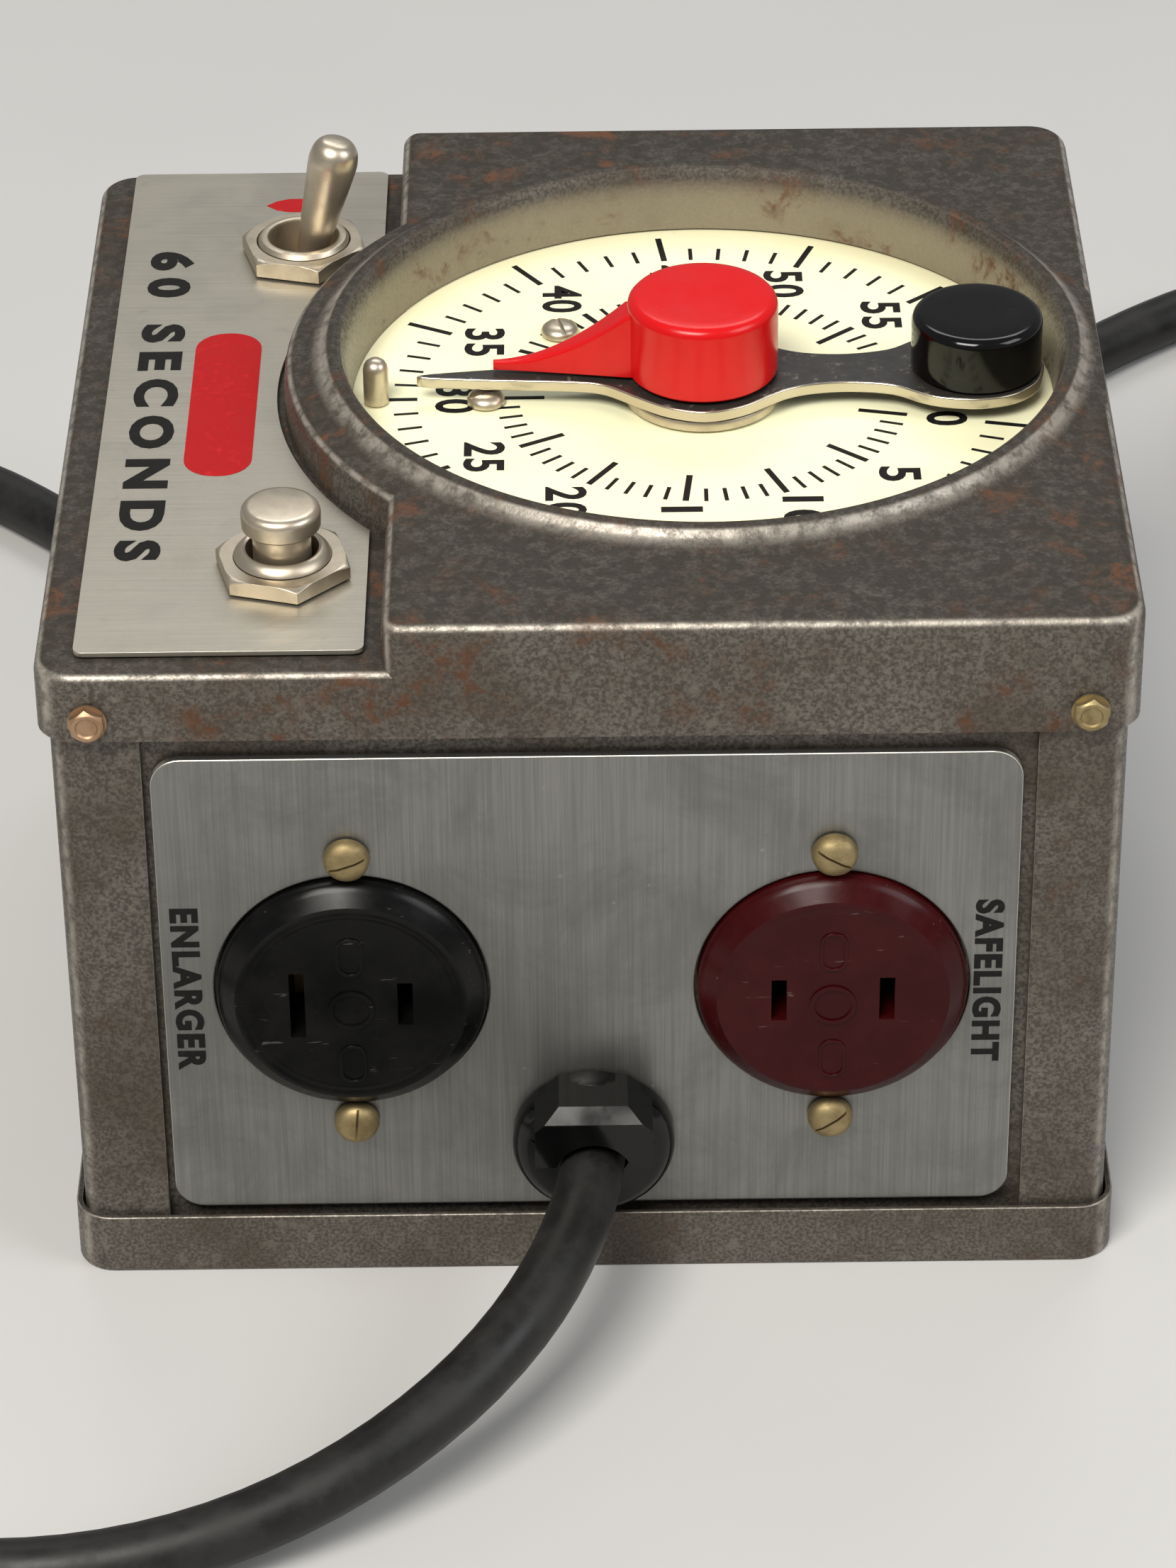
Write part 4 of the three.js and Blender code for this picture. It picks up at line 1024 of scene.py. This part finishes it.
def fin_mesh(bottom):
    """The pointer: a fin that falls in a hollow sweep from the knob to its tip."""
    r, tip = 8.6, 25.6
    layers = []
    for i in range(25):
        t = i / 24
        x = r - 1.5 + (tip - r + 1.5) * t
        left = max(0.0, min(1.0, (tip - x) / (tip - HAND_KNOB_R)))
        high = 1.0 + 7.4 * left ** 1.9
        back = 0.55 + 2.2 * left ** 1.2
        near = -0.45 - 1.5 * left ** 1.1
        soft = min(0.5, high * 0.3)
        ring = [
            (near, 0), (near, high - soft), (near + soft * 0.3, high - soft * 0.3), (near + soft, high),
            (back - soft, high), (back - soft * 0.3, high - soft * 0.3), (back, high - soft), (back, 0),
        ]
        layers.append((ring, x))
    mesh = stack(layers)
    mesh.transform(Matrix(((0, 0, 1, 0), (1, 0, 0, 0), (0, 1, 0, 0), (0, 0, 0, 1))))
    return moved(mesh, z=bottom)


def red_hand():
    low, high = corners("red_hand")
    b, t = low.z, high.z
    knob = lathe([
        (0, b), (9.0, b), (HAND_KNOB_R, b + 0.25), (HAND_KNOB_R, t - 1.25), (9.05, t - 0.7),
        (8.65, t - 0.25), (8.0, t - 0.04), (6.6, t), (4, t + 0.05), (0, t + 0.1),
    ], 128)
    bore = pin(2.4, b - 1, t - 2.2, 32)
    mesh = on_dial(cut(union(knob, fin_mesh(b)), bore), HAND_ANGLE)
    piece("red_hand_knob", mesh, "hand", "red_plastic", RED, "red_hand", crease=40, bevel=0.12)


# ---- Switches ----
TOGGLE_PIVOT = 84.0
TOGGLE_TILT = 14


def hex_nut(node, bore, turn):
    """A nut with chamfered corners; bore is the radius of its hole."""
    low, high = corners(node)
    place = middle(node)
    tall = high.z - low.z
    hexagon = prism(circle(8.25, steps=6), 0, tall)
    chamfer = lathe([(0, -0.5), (8.3, -0.5), (8.3, tall - 0.55), (7.2, tall + 0.05), (0, tall + 0.05)], 96)
    mesh = cut(boolean("INTERSECT", hexagon, chamfer), pin(bore, -1, 9))
    mesh = moved(mesh, place.x, place.y, low.z, turn=turn)
    piece(f"{node}_hex", mesh, "case", "nickel", NICKEL, node, bevel=0.08)


def threaded(r, start, end, pitch=0.75):
    """The outside of a threaded bushing as ridges."""
    points = []
    z = start
    while z + pitch < end:
        points += [(r - 0.28, z), (r, z + pitch * 0.35), (r, z + pitch * 0.6)]
        z += pitch
    return points + [(r - 0.3, end - 0.05), (r - 0.6, end)]


def toggle_switch():
    """A threaded bushing over a box, and the bat that tilts in it."""
    low, high = corners("toggle_switch")
    x, y = TOGGLE.x, TOGGLE.y
    pivot = TOGGLE_PIVOT
    top = high.z
    rim = [(5.8, top - 0.7), (5.45, top - 0.15), (5.0, top), (4.6, top - 0.1), (4.4, top - 0.4)]
    stem = lathe([
        (0, 80), (5.8, 80), *threaded(5.85, 85.4, top - 1), *rim, (3.5, pivot - 2.8), (0, pivot - 2.8),
    ], 64, (x, y))
    box = block(x - 7.5, x + 7.5, y - 14, y + 14, low.z, 84.8)
    bore = pin(3.4, pivot - 3.4, 84.9, centre=(x, y))
    mesh = together(stem, cut(box, bore, pin(5.2, 79, 99, centre=(x, y))))
    piece("toggle_switch_body", mesh, "case", "nickel", NICKEL, "toggle_switch")
    hex_nut("toggle_nut", 6.0, -15)
    bat = smooth_line([
        (0, -2.2), (1.5, -1.9), (2.15, -0.6), (2.1, 1), (1.95, 4), (2.4, 9), (2.8, 13), (3.1, 16.3),
        (3.1, 17.6), (2.75, 19.0), (1.8, 19.95), (0, 20.2),
    ], 4)
    handle = moved(lathe([(max(r, 0), z) for r, z in bat], 48), x, y, pivot, tilt=(TOGGLE_TILT, "Y"))
    piece("toggle_bat", handle, "toggle_bat", "nickel", NICKEL, "toggle_lever")


def start_button():
    """A threaded sleeve over a drum, and the plated cap that is pressed into it."""
    x, y = BUTTON.x, BUTTON.y
    low, high = corners("start_switch")
    top = high.z
    stem = lathe([
        (4.2, 79.5), (5.5, 79.5), *threaded(5.6, 85.4, 89.0), (5.7, 89.3), (5.6, top - 0.8),
        (5.2, top - 0.35), (4.9, top - 0.1), (4.6, top), (4.3, top - 0.12), (4.2, top - 0.4), (4.2, 79.5),
    ], 96, (x, y))
    drum = lathe([(0, low.z), (7.4, low.z), (8, low.z + 0.6), (8, 84.8), (0, 84.8)], 64, (x, y))
    bore = pin(4.2, 76, 99, centre=(x, y))
    deep = pin(2.1, 68, 80, 32, (x, y))
    around = pin(5.8, 79, 99, centre=(x, y))
    body = together(stem, cut(drum, bore, deep, around))
    piece("start_switch_body", body, "case", "nickel", NICKEL, "start_switch")
    hex_nut("start_nut", 5.75, -16)
    t = corners("start_button")[1].z
    cap = lathe([
        (0, 71.5), (1.8, 71.5), (1.8, 79.5), (3.4, 79.5), (3.4, t - 3.0), (4.3, t - 3.0), (4.6, t - 2.7),
        (4.66, t - 1.1), (4.55, t - 0.6), (4.2, t - 0.2), (3.6, t - 0.03), (0, t),
    ], 96, (x, y))
    piece("start_button_cap", cap, "start_button", "nickel", NICKEL, "start_button")


# ---- The CAD solids that stay: the movement, the panel behind the plate and the wiring ----
INSIDE = {
    "zinc_plate": ZINC, "brass": BRASS, "spring_steel": SPRING, "fibre": FIBRE, "coil_tape": TAPE,
    "lead_sleeving": COTTON, "black_bakelite": BLACK, "enamel": CASE_ENAMEL, "nickel": NICKEL,
}
BEVELLED = {"zinc_plate", "brass", "fibre", "enamel", "black_bakelite"}


def inside_materials():
    """Materials by slot for every CAD solid, and eased edges on those that show."""
    slots = {row["node"]: row["material_slot"] for row in frame["record"]["subparts"]}
    for node, obj in frame["nodes"].items():
        material = INSIDE.get(slots[node])
        if material is None:
            continue
        obj.data.materials.clear()
        obj.data.materials.append(material)
        if not obj.hide_render:
            finish_edges(obj, 0.12 if slots[node] in BEVELLED else 0)


# ---- Stage ----
def floor():
    bm = bmesh.new()
    bmesh.ops.create_grid(bm, x_segments=2, y_segments=2, size=2.5)
    mesh = to_mesh(bm, "floor")
    s = Shader("floor_pale")
    mottled = s.noise(120, detail=4)
    s.set(Base_Color=s.mix(mottled, (0.5, 0.495, 0.485), (0.56, 0.555, 0.545)), Roughness=0.7)
    mesh.materials.append(s.material)
    linked("floor", mesh)


def area_light(name, place, size, power, colour=(1, 1, 1)):
    """A soft box; its place is in metres, and it faces the middle of the case."""
    data = bpy.data.lights.new(name, "AREA")
    data.shape = "RECTANGLE"
    data.size, data.size_y = size
    data.energy = power
    data.color = colour
    obj = linked(name, data)
    direction = Vector((0, 0, 0.05)) - Vector(place)
    obj.matrix_world = Matrix.Translation(place) @ direction.to_track_quat("-Z", "Y").to_matrix().to_4x4()


def studio():
    """An even grey surround, a key over the left shoulder, a fill from the right and a light behind."""
    world = bpy.data.worlds.new("studio")
    world.use_nodes = True
    background = world.node_tree.nodes["Background"]
    background.inputs["Color"].default_value = (0.86, 0.87, 0.88, 1)
    background.inputs["Strength"].default_value = 0.3
    scene.world = world
    scene.view_settings.view_transform = "Standard"
    area_light("key", (-0.3, -0.7, 1.05), (0.6, 0.45), 17, (1.0, 0.965, 0.9))
    area_light("fill", (0.8, -0.35, 0.7), (0.5, 0.5), 4, (0.95, 0.97, 1.0))
    area_light("back", (0.1, 0.7, 1.0), (0.9, 0.3), 3.5)


camera()
power_cord()
drawn_lid()
case_walls()
outlet_plate()
name_plate()
screws()
outlets()
strain_relief()
dial_face()
post_and_bushing()
setting_lever()
red_hand()
toggle_switch()
start_button()
inside_materials()
floor()
studio()
